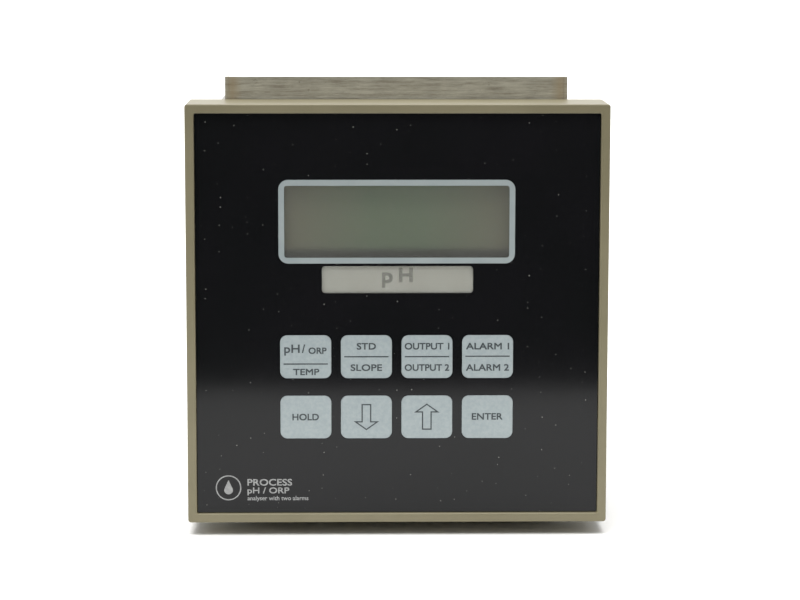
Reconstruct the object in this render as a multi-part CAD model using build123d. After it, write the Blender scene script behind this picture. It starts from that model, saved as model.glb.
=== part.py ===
"""Panel-mounted pH analyser in the DIN 144 format: front assembly, boards, case and clamp yoke.

Lengths are in millimetres. Pieces are drawn about the middle of the bezel's front face, with X to
the right, Y into the instrument and Z up. STAND moves the finished pieces so that the origin is
the middle of the footprint, on the surface that the yoke's lower edges stand on.
"""

from build123d import *
import os
from math import cos, pi, sin

# ---- Driving dimensions ------------------------------------------------------------------------
FIT = 0.05                 # clearance round a piece in its own hole
KEY_GAP = 0.075            # clearance round each key pad

# Bezel
FACE = 144.0               # DIN 144 front, square
BEZEL_DEPTH = 26.5
BAR = 3.1                  # width of the bars seen from the front
BEZEL_CORNER = 1.0
BEZEL_EDGE = 0.45
BEZEL_OPENING = FACE - 2 * BAR
SHELF_OPENING = 118.0      # the ring inside the bezel that everything bolts to
SHELF = 3.0
LUG_SPAN = 137.2           # across the lugs that centre the bezel in a 138 mm panel cut-out
LUG_ARM = 7.0
LUG_LENGTH = 3.5
LUG_WALL = 2.2
GASKET = 0.8
GASKET_SPAN = FACE - 1.2
GASKET_WIDTH = 2.3

# Layers of the front panel, from the front
RECESS = 1.5               # the film lies this far behind the bezel's front face
FILM = 0.5
SPACER = 1.0
CIRCUIT = 0.3
PLATE = 1.5
LAYER = BEZEL_OPENING - 0.4

# Windows in the film
DISPLAY_WIDTH = 76.6
DISPLAY_HEIGHT = 24.6
DISPLAY_Z = 32.0
PRINT_X = -0.25            # the film's display window and keys lie this far off the middle
LABEL_WIDTH = 51.5
LABEL_HEIGHT = 9.2
LABEL_Z = 12.15
UNITS_CARD = (58.0, 12.4)  # width and height of the card behind the label window
UNITS_CARD_THICK = 0.3
CARD_POCKET = (60.0, 12.9)
LAYER_OPENING = 0.7        # how far the display's opening grows in the layers behind the film

# Keys
KEY_WIDTH = 17.4
KEY_HEIGHT = 14.85
KEY_CORNER = 2.4
KEY_PITCH_X = 20.75
KEY_ROWS_Z = (-14.45, -35.4)
KEY_RIM = 0.2              # the rim behind the film that keeps a key in
KEY_RIM_THICK = 0.15
DOME_RADIUS = 5.0
DOME_HEIGHT = 0.3          # pressed flat, as at the end of a key's travel
KEY_NAMES = (
    ("key_measure", "key_standardise", "key_outputs", "key_alarms"),
    ("key_hold", "key_down", "key_up", "key_enter"),
)

# Display module
LCD_WIDTH = 84.0
LCD_HEIGHT = 34.0
LCD_THICK = 2.8
HOLDER_WIDTH = 92.0
HOLDER_HEIGHT = 44.0
BOARD = 1.6                # every circuit board
BOARD_Y = 14.0             # front of the display board
DISPLAY_BOARD_WIDTH = 112.0
DISPLAY_BOARD_HEIGHT = 60.0
DISPLAY_BOARD_Z = 24.0
STANDOFF_X = 51.0
STANDOFF_Z = 25.0
STANDOFF_RADIUS = 2.5
STANDOFF_THREAD = 6.0      # depth of the tapped hole
SMALL_SCREW = 1.25         # radius of an M2.5 thread
CHIP_ROW_Z = 40.0
TAIL_WIDTH = 16.0          # flat tail of the keypad circuit
TAIL_Z = -52.0
TAIL = 0.3
RIBBON_WIDTH = 40.0
RIBBON = 0.9
HEADER_WIDTH = 44.0        # sockets of the ribbon
HEADER = 8.0               # their size along the board, and their height
HEADER_Y = 34.0

# Case
CASE = 132.0
CASE_BACK = 150.0
CASE_SHEET = 1.2
CASE_CORNER = 2.0
REAR_PANEL = 2.0
REAR_OPENING = 113.0
STUD_OFFSET = 61.7         # studs stand this far from the middle, along all four sides
STUD_PITCH = 80.0
STUD_HEAD = 2.1
STUD_HEAD_THICK = 0.7
PANEL_SCREW = 1.5          # radius of an M3 thread
PANEL_SCREW_OFFSET = 60.2

# Boards inside the case
CARD_WIDTH = 122.0
CARD_FRONT = 26.0
CARD_BACK = 138.0
MAIN_BOARD_Z = 20.0
POWER_BOARD_Z = -30.0
RAIL_WIDTH = 7.0
RAIL_HEIGHT = 6.0
CORE_X = (-54.0, -6.0)     # transformer
CORE_Y = (92.0, 112.0)
CORE_HEIGHT = 40.0
CORE_LEG = 8.0
COIL_X = (-45.7, -14.3)
COIL_Y = (84.0, 120.0)
COIL_HEIGHT = 23.6
FUSE_X = 44.0
FUSE_RADIUS = 2.6
FUSE_ENDS = (44.0, 64.0)
FUSE_LIFT = 4.5            # from the board up to the fuse's axis
SINK_Y = (84.0, 126.0)     # heat sink
SINK_HEIGHT = 26.0
FINS = 7

# Rear terminals
STRIP_X = 26.0
STRIP_WIDTH = 20.0
STRIP_BASE = 6.0
BARRIER = 7.0
BARRIER_THICK = 1.6
WAYS = 10
WAY_PITCH = 9.5
TERMINAL_SCREW = 1.75      # radius of an M3.5 thread
GROUND_Z = -40.0           # earth stud
GROUND_ROOT = 2.5          # radius of its root, which its nut runs on
GROUND_RADIUS = 2.0        # radius of its free end
GROUND_NUT = 3.2
GROUND_REACH = 11.0
PLATE_Y = (78.0, 138.0)    # rating plate on the side of the case
PLATE_Z = (12.0, 40.0)
PLATE_THICK = 0.3

# Clamp yoke
YOKE_WIDTH = 118.9
YOKE_SHEET = 1.5
YOKE_BEND = 2.2            # bend radius at the middle of the sheet
YOKE_TOP = 79.7
YOKE_BOTTOM = -76.6
GUSSET = 1.35
GUSSET_LENGTH = 26.0
WINDOW_WIDTH = 88.0
WINDOW_HEIGHT = 108.0
WEB_GAP = 3.0              # between the rear panel and the yoke's web
SCREW_X = 52.0
SCREW_RADIUS = 2.5         # M5 x 0.8
SCREW_REACH = 18.0         # how far a clamp screw reaches in past the rear panel's back face
NOTCH_X = 46.0             # inner end of the rear panel's notch for a clamp nut
NOTCH_HEIGHT = 12.0
NUT_BEARING = 3.0          # how far a clamp nut laps the panel round its notch
HEAD_RADIUS = 7.0
HEAD_LENGTH = 8.0
FLUTES = 30

# ---- Stations along Y, worked out from the layers ------------------------------------------------
FILM_BACK = RECESS + FILM
SPACER_BACK = FILM_BACK + SPACER
CIRCUIT_BACK = SPACER_BACK + CIRCUIT
PLATE_BACK = CIRCUIT_BACK + PLATE
SHELF_BACK = PLATE_BACK + SHELF
FLANGE_BACK = SHELF_BACK + CASE_SHEET
LCD_FRONT = PLATE_BACK + 0.35
LCD_BACK = LCD_FRONT + LCD_THICK
PANEL_FRONT = CASE_BACK - REAR_PANEL
NUT_FRONT = PANEL_FRONT - 6.0
YOKE_FRONT = BEZEL_DEPTH + GASKET + FIT
WEB_FRONT = CASE_BACK + WEB_GAP
WEB_BACK = WEB_FRONT + YOKE_SHEET
SCREW_BACK = WEB_BACK + FIT + HEAD_LENGTH
LOWER_ARM_Z = -CASE / 2 - FIT              # inner face of the arm that the case lies on
YOKE_Z = (YOKE_TOP + YOKE_BOTTOM) / 2      # the yoke hangs a little high on the case
UPPER_ARM_Z = 2 * YOKE_Z - LOWER_ARM_Z
STAND = Pos(0, -SCREW_BACK / 2, -YOKE_BOTTOM)


# ---- Shapes used by many pieces ----------------------------------------------------------------
def slab(width, height, front, back, corner=0.0, x=0.0, z=0.0):
    """A rectangle seen from the front, with round corners, solid from front to back."""
    outline = RectangleRounded(width, height, corner) if corner else Rectangle(width, height)
    return Pos(x, back, z) * extrude(Plane.XZ * outline, amount=back - front)


def rod(radius, front, back, x=0.0, z=0.0):
    """A round bar along Y."""
    return Pos(x, back, z) * extrude(Plane.XZ * Circle(radius), amount=back - front)


def upright(radius, bottom, top, x, y):
    """A round bar along Z."""
    return Pos(x, y, bottom) * extrude(Circle(radius), amount=top - bottom)


def block(x_range, y_range, z_range):
    """A plain block between pairs of coordinates."""
    spans = [high - low for low, high in (x_range, y_range, z_range)]
    middle = [(low + high) / 2 for low, high in (x_range, y_range, z_range)]
    return Pos(*middle) * Box(*spans)


def hex_nut(across_flats, bore, front, back, x, z):
    """A hexagon nut on an axis along Y."""
    outline = RegularPolygon(across_flats / 2, 6, major_radius=False) - Circle(bore)
    return Pos(x, back, z) * extrude(Plane.XZ * outline, amount=back - front)


def pan_screw(radius, head_radius, head_thick, seat, tip, x, z):
    """A slotted pan-head screw whose head stands behind its seat and whose thread points forward."""
    head = rod(head_radius, seat, seat + head_thick, x, z)
    head = fillet(head.edges().group_by(Axis.Y)[-1], head_thick * 0.4)
    slot_depth = head_thick * 0.45
    slot = slab(2 * head_radius + 1, 0.7, seat + head_thick - slot_depth, seat + head_thick + 1)
    return head - Pos(x, 0, z) * slot + rod(radius, tip, seat, x, z)


def group(solids):
    """Several separate solids of one kind, kept in one node."""
    return Compound(list(solids))


def corners(half_x, half_z):
    """The four corners of a rectangle about the axis."""
    return [(sx * half_x, sz * half_z) for sx in (-1, 1) for sz in (-1, 1)]


def key_places():
    """Name, X and Z of each key."""
    first = PRINT_X - 1.5 * KEY_PITCH_X
    for names, z in zip(KEY_NAMES, KEY_ROWS_Z):
        for column, name in enumerate(names):
            yield name, first + column * KEY_PITCH_X, z


def stud_places():
    """X and Z of the eight studs that hold the front together."""
    half = STUD_PITCH / 2
    return corners(STUD_OFFSET, half) + corners(half, STUD_OFFSET)


def way_places():
    """Z of each way of a terminal strip."""
    return [(way - (WAYS - 1) / 2) * WAY_PITCH for way in range(WAYS)]


# ---- Front of the instrument -------------------------------------------------------------------
def make_bezel():
    """Deep moulded frame with a shelf inside it and four lugs that centre it in the cut-out."""
    bezel = slab(FACE, FACE, 0, BEZEL_DEPTH, BEZEL_CORNER)
    bezel -= slab(BEZEL_OPENING, BEZEL_OPENING, -1, PLATE_BACK, 0.6)
    bezel = fillet(bezel.edges().group_by(Axis.Y)[0], BEZEL_EDGE)
    bezel = fillet(bezel.edges().group_by(Axis.Y)[-1], BEZEL_EDGE / 2)
    bezel -= slab(SHELF_OPENING, SHELF_OPENING, PLATE_BACK - 1, SHELF_BACK + 1, 2.0)
    bezel -= slab(BEZEL_OPENING, BEZEL_OPENING, SHELF_BACK, BEZEL_DEPTH + 1, 0.6)
    for x, z in stud_places():
        bezel -= rod(SMALL_SCREW + FIT, PLATE_BACK - 1, SHELF_BACK + 1, x, z)
    lug_front = SHELF_BACK + 2 * SHELF
    lug_back = BEZEL_DEPTH + LUG_LENGTH
    lugs = slab(BEZEL_OPENING, BEZEL_OPENING, lug_front, BEZEL_DEPTH - 2, 0.6)
    lugs += slab(LUG_SPAN, LUG_SPAN, BEZEL_DEPTH - 2, lug_back)
    lug_inside = LUG_SPAN - 2 * LUG_WALL
    lugs -= slab(lug_inside, lug_inside, lug_front - 1, lug_back + 1)
    arm_gap = LUG_SPAN - 2 * LUG_ARM
    lugs -= slab(arm_gap, FACE, lug_front - 1, lug_back + 1)
    lugs -= slab(FACE, arm_gap, lug_front - 1, lug_back + 1)
    return bezel + lugs


def make_panel_gasket():
    """Four strips of soft rubber, laid end to side, that seal the bezel against the panel."""
    depth = (BEZEL_DEPTH, BEZEL_DEPTH + GASKET)
    middle = (GASKET_SPAN - GASKET_WIDTH) / 2
    between = GASKET_SPAN - 2 * GASKET_WIDTH
    upright_strips = [slab(GASKET_WIDTH, GASKET_SPAN, *depth, x=x) for x in (-middle, middle)]
    level_strips = [slab(between, GASKET_WIDTH, *depth, z=z) for z in (-middle, middle)]
    return group(upright_strips + level_strips)


def display_window(extra, front, back):
    """The display's opening through a layer, grown by extra on each side."""
    size = (DISPLAY_WIDTH + 2 * extra, DISPLAY_HEIGHT + 2 * extra)
    return slab(*size, front - 1, back + 1, 0.9, PRINT_X, DISPLAY_Z)


def make_front_overlay():
    """Printed film that is the whole face, with windows and an opening for each key."""
    film = slab(LAYER, LAYER, RECESS, FILM_BACK, 0.4)
    film -= display_window(FIT, RECESS, FILM_BACK)
    label = (LABEL_WIDTH + 2 * FIT, LABEL_HEIGHT + 2 * FIT)
    film -= slab(*label, RECESS - 1, FILM_BACK + 1, 1.2, z=LABEL_Z)
    hole = (KEY_WIDTH + 2 * KEY_GAP, KEY_HEIGHT + 2 * KEY_GAP)
    for _, x, z in key_places():
        film -= slab(*hole, RECESS - 1, FILM_BACK + 1, KEY_CORNER, x, z)
    return film


def make_window_lens():
    """Clear pane over the display, level with the film."""
    return slab(DISPLAY_WIDTH, DISPLAY_HEIGHT, RECESS, FILM_BACK, 0.9, PRINT_X, DISPLAY_Z)


def make_label_window():
    """Clear pane over the units card."""
    return slab(LABEL_WIDTH, LABEL_HEIGHT, RECESS, FILM_BACK, 1.2, z=LABEL_Z)


def make_label_card():
    """Slip-in card that names the measured quantity."""
    front = FILM_BACK + FIT
    return slab(*UNITS_CARD, front, front + UNITS_CARD_THICK, z=LABEL_Z)


def make_key(x, z):
    """Key pad with a thin rim behind the film."""
    rim = (KEY_WIDTH + 2 * KEY_RIM, KEY_HEIGHT + 2 * KEY_RIM)
    pad = slab(KEY_WIDTH, KEY_HEIGHT, RECESS, FILM_BACK + KEY_RIM_THICK, KEY_CORNER, x, z)
    return pad + slab(*rim, FILM_BACK + FIT / 2, FILM_BACK + KEY_RIM_THICK, KEY_CORNER, x, z)


def make_dome_spacer():
    """Sheet that leaves a well behind each key, a pocket for the card and the display's opening."""
    sheet = slab(LAYER, LAYER, FILM_BACK, SPACER_BACK, 0.4)
    sheet -= display_window(LAYER_OPENING, FILM_BACK, SPACER_BACK)
    sheet -= slab(*CARD_POCKET, FILM_BACK - 1, SPACER_BACK + 1, z=LABEL_Z)
    well = (KEY_WIDTH + 2 * KEY_RIM + 0.4, KEY_HEIGHT + 2 * KEY_RIM + 0.4)
    for _, x, z in key_places():
        sheet -= slab(*well, FILM_BACK - 1, SPACER_BACK + 1, KEY_CORNER, x, z)
    return sheet


def make_switch_domes():
    """One snap dome behind each key."""
    front = SPACER_BACK - DOME_HEIGHT
    domes = []
    for _, x, z in key_places():
        disc = rod(DOME_RADIUS, front, SPACER_BACK, x, z)
        domes.append(chamfer(disc.edges().group_by(Axis.Y)[0], DOME_HEIGHT * 0.6))
    return group(domes)


def make_keypad_circuit():
    """Printed polyester circuit with the key contacts."""
    sheet = slab(LAYER, LAYER, SPACER_BACK, CIRCUIT_BACK, 0.4)
    return sheet - display_window(LAYER_OPENING, SPACER_BACK, CIRCUIT_BACK)


def make_keypad_tail():
    """Flat tail from the circuit, through a slot in the plate and up to the display board."""
    board_edge = DISPLAY_BOARD_Z - DISPLAY_BOARD_HEIGHT / 2
    rear = BOARD_Y + BOARD + 0.6
    path = FilletPolyline(
        (CIRCUIT_BACK, TAIL_Z), (rear, TAIL_Z), (rear, board_edge + 8.0), radius=3.0
    )
    strip = extrude(Plane.YZ * trace(path, TAIL), amount=TAIL_WIDTH / 2, both=True)
    plug = block((-9, 9), (BOARD_Y + BOARD, rear + 2.4), (board_edge + 2, board_edge + 8))
    return strip - plug


def make_front_plate():
    """Stiff aluminium plate behind the layers, with the openings and the stud holes."""
    plate = slab(LAYER, LAYER, CIRCUIT_BACK, PLATE_BACK, 0.4)
    plate -= display_window(LAYER_OPENING, CIRCUIT_BACK, PLATE_BACK)
    plate -= slab(TAIL_WIDTH + 2, 2.0, CIRCUIT_BACK - 1, PLATE_BACK + 1, z=TAIL_Z)
    for x, z in stud_places():
        plate -= rod(SMALL_SCREW + FIT, CIRCUIT_BACK - 1, PLATE_BACK + 1, x, z)
        plate -= rod(STUD_HEAD + FIT, CIRCUIT_BACK - 1, CIRCUIT_BACK + STUD_HEAD_THICK, x, z)
    return plate


def make_plate_studs():
    """Clinched studs that pass back through the shelf and the case's flange."""
    studs = []
    for x, z in stud_places():
        neck = CIRCUIT_BACK + STUD_HEAD_THICK
        head = rod(STUD_HEAD, CIRCUIT_BACK + FIT, neck, x, z)
        studs.append(head + rod(SMALL_SCREW, neck, FLANGE_BACK + 3.4, x, z))
    return group(studs)


def make_stud_nuts():
    """Nuts that clamp the plate, the bezel and the case together."""
    span = (FLANGE_BACK, FLANGE_BACK + 2.0)
    return group(hex_nut(5.0, SMALL_SCREW + FIT, *span, x, z) for x, z in stud_places())


# ---- Display module ----------------------------------------------------------------------------
def make_lcd_glass():
    """Liquid-crystal cell: a rear glass and a slightly shorter front glass."""
    rear = slab(LCD_WIDTH, LCD_HEIGHT, LCD_FRONT + LCD_THICK / 2, LCD_BACK, z=DISPLAY_Z)
    shorter = LCD_HEIGHT - 5.0
    return rear + slab(LCD_WIDTH, shorter, LCD_FRONT, LCD_FRONT + LCD_THICK / 2, z=DISPLAY_Z)


def make_lcd_frame():
    """Pressed metal cap that holds the cell against its holder."""
    wall = 0.5
    outer = (HOLDER_WIDTH + 2 * (wall + FIT), HOLDER_HEIGHT + 2 * (wall + FIT))
    inner = (HOLDER_WIDTH + 2 * FIT, HOLDER_HEIGHT + 2 * FIT)
    cap = slab(*outer, PLATE_BACK, BOARD_Y, 1.0, z=DISPLAY_Z)
    cap -= slab(*inner, LCD_FRONT, BOARD_Y + 1, 0.5, z=DISPLAY_Z)
    return cap - slab(79.0, 27.0, PLATE_BACK - 1, LCD_FRONT + 1, 0.5, z=DISPLAY_Z)


def make_lcd_holder():
    """Plastic block between the cell and the board, hollow behind the cell."""
    holder = slab(HOLDER_WIDTH, HOLDER_HEIGHT, LCD_BACK, BOARD_Y, 0.5, z=DISPLAY_Z)
    holder -= slab(78.0, 24.0, LCD_BACK - 1, BOARD_Y + 1, z=DISPLAY_Z)
    for side in (-1, 1):
        holder -= slab(80.4, 3.0, LCD_BACK - 1, BOARD_Y + 1, z=DISPLAY_Z + side * 15.0)
    return holder


def make_contact_strips():
    """Striped rubber contacts that join the cell to the board."""
    return group(
        slab(80.0, 2.6, LCD_BACK, BOARD_Y, z=DISPLAY_Z + side * 15.0) for side in (-1, 1)
    )


def standoff_places():
    """X and Z of the display board's four fixings."""
    return [(x, DISPLAY_BOARD_Z + z) for x, z in corners(STANDOFF_X, STANDOFF_Z)]


def make_display_board():
    """Circuit board behind the display."""
    size = (DISPLAY_BOARD_WIDTH, DISPLAY_BOARD_HEIGHT)
    board = slab(*size, BOARD_Y, BOARD_Y + BOARD, 1.0, z=DISPLAY_BOARD_Z)
    for x, z in standoff_places():
        board -= rod(SMALL_SCREW + FIT, BOARD_Y - 1, BOARD_Y + BOARD + 1, x, z)
    return board


def make_display_standoffs():
    """Clinched spacers between the plate and the display board."""
    spacers = []
    for x, z in standoff_places():
        tube = rod(STANDOFF_RADIUS, PLATE_BACK, BOARD_Y, x, z)
        bore = rod(SMALL_SCREW + FIT, BOARD_Y - STANDOFF_THREAD, BOARD_Y + 1, x, z)
        spacers.append(tube - bore)
    return group(spacers)


def make_display_screws():
    """Screws that hold the display board on its spacers."""
    seat = BOARD_Y + BOARD
    tip = seat - STANDOFF_THREAD
    return group(
        pan_screw(SMALL_SCREW, 2.3, 1.6, seat, tip, x, z) for x, z in standoff_places()
    )


def make_display_chips():
    """Driver chips on the back of the display board."""
    seat = BOARD_Y + BOARD
    chips = []
    for x, width in ((-34.0, 26.0), (0.0, 22.0), (34.0, 26.0)):
        chips.append(slab(width, 9.0, seat, seat + 3.6, x=x, z=CHIP_ROW_Z))
    return group(chips)


# ---- Boards and parts inside the case ----------------------------------------------------------
def make_card_guides():
    """Four grooved rails along the sides of the case."""
    wall = CASE / 2 - CASE_SHEET
    rails = []
    for side in (-1, 1):
        for z in (MAIN_BOARD_Z, POWER_BOARD_Z):
            x_range = sorted((side * (wall - RAIL_WIDTH), side * wall))
            half_rail = RAIL_HEIGHT / 2
            rail = block(x_range, (CARD_FRONT, CARD_BACK), (z - half_rail, z + half_rail))
            groove_end = CARD_WIDTH / 2 + 2 * FIT
            slot_x = sorted((side * (wall - RAIL_WIDTH - 1), side * groove_end))
            half = BOARD / 2 + FIT
            slot = block(slot_x, (CARD_FRONT - 1, CARD_BACK + 1), (z - half, z + half))
            rails.append(rail - slot)
    return group(rails)


def make_card(z):
    """Circuit board that slides in a pair of guides."""
    half = CARD_WIDTH / 2
    return block((-half, half), (CARD_FRONT, CARD_BACK), (z - BOARD / 2, z + BOARD / 2))


def make_dip(x, y, z, pins, width):
    """Dual in-line chip: a body on two rows of legs."""
    length = pins / 2 * 2.54
    chip = block((x - width / 2 + 1, x + width / 2 - 1), (y, y + length), (z + 0.5, z + 4.0))
    for pin in range(pins // 2):
        middle = y + (pin + 0.5) * 2.54
        legs = (middle - 0.3, middle + 0.3)
        chip += block((x - width / 2, x + width / 2), legs, (z + 1.8, z + 2.1))
        for side in (-1, 1):
            leg_x = sorted((x + side * (width / 2 - 0.3), x + side * width / 2))
            chip += block(leg_x, legs, (z, z + 2.1))
    return chip


def make_logic_chips():
    """Processor, memory, converter and logic on the main board."""
    z = MAIN_BOARD_Z + BOARD / 2
    rows = ((-38.0, 52.0, 40, 15.2), (-14.0, 52.0, 28, 15.2), (8.0, 56.0, 20, 7.6))
    return group(make_dip(x, y, z, pins, width) for x, y, pins, width in rows)


def make_transformer_core():
    """Stack of iron laminations with a window each side of its middle leg."""
    bottom = POWER_BOARD_Z + BOARD / 2
    core = block(CORE_X, CORE_Y, (bottom, bottom + CORE_HEIGHT))
    through = (CORE_Y[0] - 1, CORE_Y[1] + 1)
    rise = (bottom + CORE_LEG, bottom + CORE_HEIGHT - CORE_LEG)
    for x in (CORE_X[0] + CORE_LEG, CORE_X[1] - 2 * CORE_LEG):
        core -= block((x, x + CORE_LEG), through, rise)
    return core


def make_transformer_coil():
    """Winding round the core's middle leg."""
    bottom = POWER_BOARD_Z + BOARD / 2 + CORE_LEG + 0.2
    top = bottom + COIL_HEIGHT
    coil = fillet(block(COIL_X, COIL_Y, (bottom, top)).edges().filter_by(Axis.Z), 5.0)
    leg_x = (CORE_X[0] + 2 * CORE_LEG - FIT, CORE_X[1] - 2 * CORE_LEG + FIT)
    leg_y = (CORE_Y[0] - FIT, CORE_Y[1] + FIT)
    return coil - block(leg_x, leg_y, (bottom - 1, top + 1))


def make_filter_capacitors():
    """Smoothing capacitors on the power board."""
    bottom = POWER_BOARD_Z + BOARD / 2
    sizes = ((8.0, 10.0, 96.0, 26.0), (8.0, 10.0, 116.0, 26.0), (5.0, 24.0, 122.0, 17.0))
    cans = []
    for radius, x, y, height in sizes:
        can = upright(radius, bottom, bottom + height, x, y)
        cans.append(fillet(can.edges().group_by(Axis.Z)[-1], 0.8))
    return group(cans)


def make_alarm_relays():
    """Two alarm relays on the power board."""
    bottom = POWER_BOARD_Z + BOARD / 2
    return group(
        block((x, x + 13.0), (48.0, 77.0), (bottom, bottom + 25.0)) for x in (-50.0, -32.0)
    )


def make_fuse():
    """Glass mains fuse."""
    z = POWER_BOARD_Z + BOARD / 2 + FUSE_LIFT
    return rod(FUSE_RADIUS, *FUSE_ENDS, FUSE_X, z)


def make_fuse_clips():
    """Spring clips that carry the fuse."""
    floor = POWER_BOARD_Z + BOARD / 2
    z = floor + FUSE_LIFT
    clips = []
    for y in (FUSE_ENDS[0] + 1.5, FUSE_ENDS[1] - 6.5):
        clip = rod(FUSE_RADIUS + 0.5, y, y + 5.0, FUSE_X, z)
        clip -= rod(FUSE_RADIUS + 0.02, y - 1, y + 6, FUSE_X, z)
        clip -= block((FUSE_X - 2.2, FUSE_X + 2.2), (y - 1, y + 6), (z, z + 5.0))
        foot = block((FUSE_X - 2.0, FUSE_X + 2.0), (y, y + 5.0), (floor, z - FUSE_RADIUS - 0.2))
        clips.append(clip + foot)
    return group(clips)


def make_heat_sink():
    """Finned plate that cools the regulators."""
    bottom = POWER_BOARD_Z + BOARD / 2
    rise = (bottom, bottom + SINK_HEIGHT)
    sink = block((42.0, 44.5), SINK_Y, rise)
    fin_thick = 1.5
    step = (SINK_Y[1] - SINK_Y[0] - fin_thick) / (FINS - 1)
    for fin in range(FINS):
        y = SINK_Y[0] + fin * step
        sink += block((44.5, 55.0), (y, y + fin_thick), rise)
    return sink


def make_regulators():
    """Voltage regulators against the heat sink."""
    bottom = POWER_BOARD_Z + BOARD / 2
    packages = []
    for y in (90.0, 108.0):
        package = block((37.5, 42.0), (y, y + 10.0), (bottom + 6.0, bottom + 15.0))
        package += block((40.7, 42.0), (y, y + 10.0), (bottom + 15.0, bottom + 21.5))
        for leg in (1.8, 4.7, 7.6):
            package += block((39.4, 39.9), (y + leg, y + leg + 0.8), (bottom, bottom + 6.0))
        packages.append(package)
    return group(packages)


def make_terminal_headers():
    """Sockets that join the boards to the terminal strips."""
    sockets = []
    for z in (MAIN_BOARD_Z + BOARD / 2, POWER_BOARD_Z + BOARD / 2):
        for side in (-1, 1):
            x_range = sorted((side * (STRIP_X - 9.0), side * (STRIP_X + 9.0)))
            sockets.append(block(x_range, (CARD_BACK - 8.0, PANEL_FRONT), (z, z + 9.0)))
    return group(sockets)


def ribbon_plugs():
    """The two places where the ribbon is plugged in: on the display board and on the main board."""
    seat = BOARD_Y + BOARD
    top = MAIN_BOARD_Z + BOARD / 2
    width = (-HEADER_WIDTH / 2, HEADER_WIDTH / 2)
    first = block(width, (seat, seat + HEADER), (6.0, 6.0 + HEADER))
    second = block(width, (HEADER_Y, HEADER_Y + HEADER), (top, top + HEADER))
    return first, second


def make_ribbon_headers():
    """Sockets for the ribbon."""
    return group(ribbon_plugs())


def make_front_ribbon():
    """Ribbon from the display board's socket, round the main board's front edge, to its socket."""
    seat = BOARD_Y + BOARD + HEADER
    top = MAIN_BOARD_Z + BOARD / 2 + HEADER
    path = FilletPolyline(
        (seat + RIBBON / 2, 7.0),
        (seat + RIBBON / 2, top + 5.0),
        (HEADER_Y + HEADER / 2, top + 5.0),
        (HEADER_Y + HEADER / 2, top),
        radius=2.5,
    )
    return extrude(Plane.YZ * trace(path, RIBBON), amount=RIBBON_WIDTH / 2, both=True)


# ---- Case and rear -----------------------------------------------------------------------------
def make_case_sleeve():
    """Folded steel sleeve with a flange at each end."""
    inside = CASE - 2 * CASE_SHEET
    flange = CASE_BACK - REAR_PANEL - CASE_SHEET
    sleeve = slab(CASE, CASE, SHELF_BACK, CASE_BACK, CASE_CORNER)
    sleeve -= slab(inside, inside, FLANGE_BACK, flange, CASE_CORNER - CASE_SHEET)
    sleeve -= slab(inside, inside, PANEL_FRONT, CASE_BACK + 1, CASE_CORNER - CASE_SHEET)
    sleeve -= slab(SHELF_OPENING, SHELF_OPENING, SHELF_BACK - 1, FLANGE_BACK + 1, 2.0)
    sleeve -= slab(REAR_OPENING, REAR_OPENING, flange - 1, CASE_BACK + 1, 2.0)
    for x, z in stud_places():
        sleeve -= rod(SMALL_SCREW + FIT, SHELF_BACK - 1, FLANGE_BACK + 1, x, z)
    for x, z in corners(PANEL_SCREW_OFFSET, PANEL_SCREW_OFFSET):
        sleeve -= rod(PANEL_SCREW + FIT, flange - 1, CASE_BACK, x, z)
    return sleeve


def nut_tongue(side, shrink, front, back, outer):
    """A clamp nut's tongue, or with no shrink the notch in the panel's edge that it fills."""
    x_range = sorted((side * (NOTCH_X + shrink), side * outer))
    half = NOTCH_HEIGHT / 2 - shrink
    return block(x_range, (front, back), (YOKE_Z - half, YOKE_Z + half))


def make_rear_panel():
    """Plate that closes the back and carries the terminals, with a notch at each clamp screw."""
    size = CASE - 2 * CASE_SHEET - 0.2
    panel = slab(size, size, PANEL_FRONT, CASE_BACK, 0.7)
    for x, z in corners(PANEL_SCREW_OFFSET, PANEL_SCREW_OFFSET):
        panel -= rod(PANEL_SCREW + FIT, PANEL_FRONT - 1, CASE_BACK + 1, x, z)
    for side in (-1, 1):
        panel -= nut_tongue(side, 0, PANEL_FRONT - 1, CASE_BACK + 1, size)
        slot = slab(12.0, WAYS * WAY_PITCH - 5.0, PANEL_FRONT - 1, CASE_BACK + 1, 1.0)
        panel -= Pos(side * STRIP_X, 0, 0) * slot
    return panel - rod(GROUND_ROOT + FIT, PANEL_FRONT - 1, CASE_BACK + 1, 0, GROUND_Z)


def make_panel_screws():
    """Screws that hold the rear panel on the case."""
    return group(
        pan_screw(PANEL_SCREW, 2.8, 1.9, CASE_BACK, CASE_BACK - 6.0, x, z)
        for x, z in corners(PANEL_SCREW_OFFSET, PANEL_SCREW_OFFSET)
    )


def make_terminal_strip(side):
    """Moulded barrier strip with a wall between each pair of ways."""
    x = side * STRIP_X
    length = WAYS * WAY_PITCH + BARRIER_THICK
    base_back = CASE_BACK + STRIP_BASE
    strip = slab(STRIP_WIDTH, length, CASE_BACK, base_back, 0.5, x)
    for wall in range(WAYS + 1):
        z = (wall - WAYS / 2) * WAY_PITCH
        strip += slab(STRIP_WIDTH, BARRIER_THICK, base_back - 1, base_back + BARRIER, x=x, z=z)
    for z in way_places():
        strip -= rod(TERMINAL_SCREW + FIT, CASE_BACK + 1.0, base_back + 1, x, z)
    return strip


def make_terminal_clamps():
    """Square wire clamps under the terminal screws."""
    seat = CASE_BACK + STRIP_BASE
    clamps = []
    for x in (-STRIP_X, STRIP_X):
        for z in way_places():
            plate = slab(9.0, 7.4, seat, seat + 1.0, 0.6, x, z)
            clamps.append(plate - rod(TERMINAL_SCREW + FIT, seat - 1, seat + 2, x, z))
    return group(clamps)


def make_terminal_screws():
    """Terminal screws."""
    seat = CASE_BACK + STRIP_BASE + 1.0
    return group(
        pan_screw(TERMINAL_SCREW, 3.3, 2.2, seat, seat - 5.5, x, z)
        for x in (-STRIP_X, STRIP_X)
        for z in way_places()
    )


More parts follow.
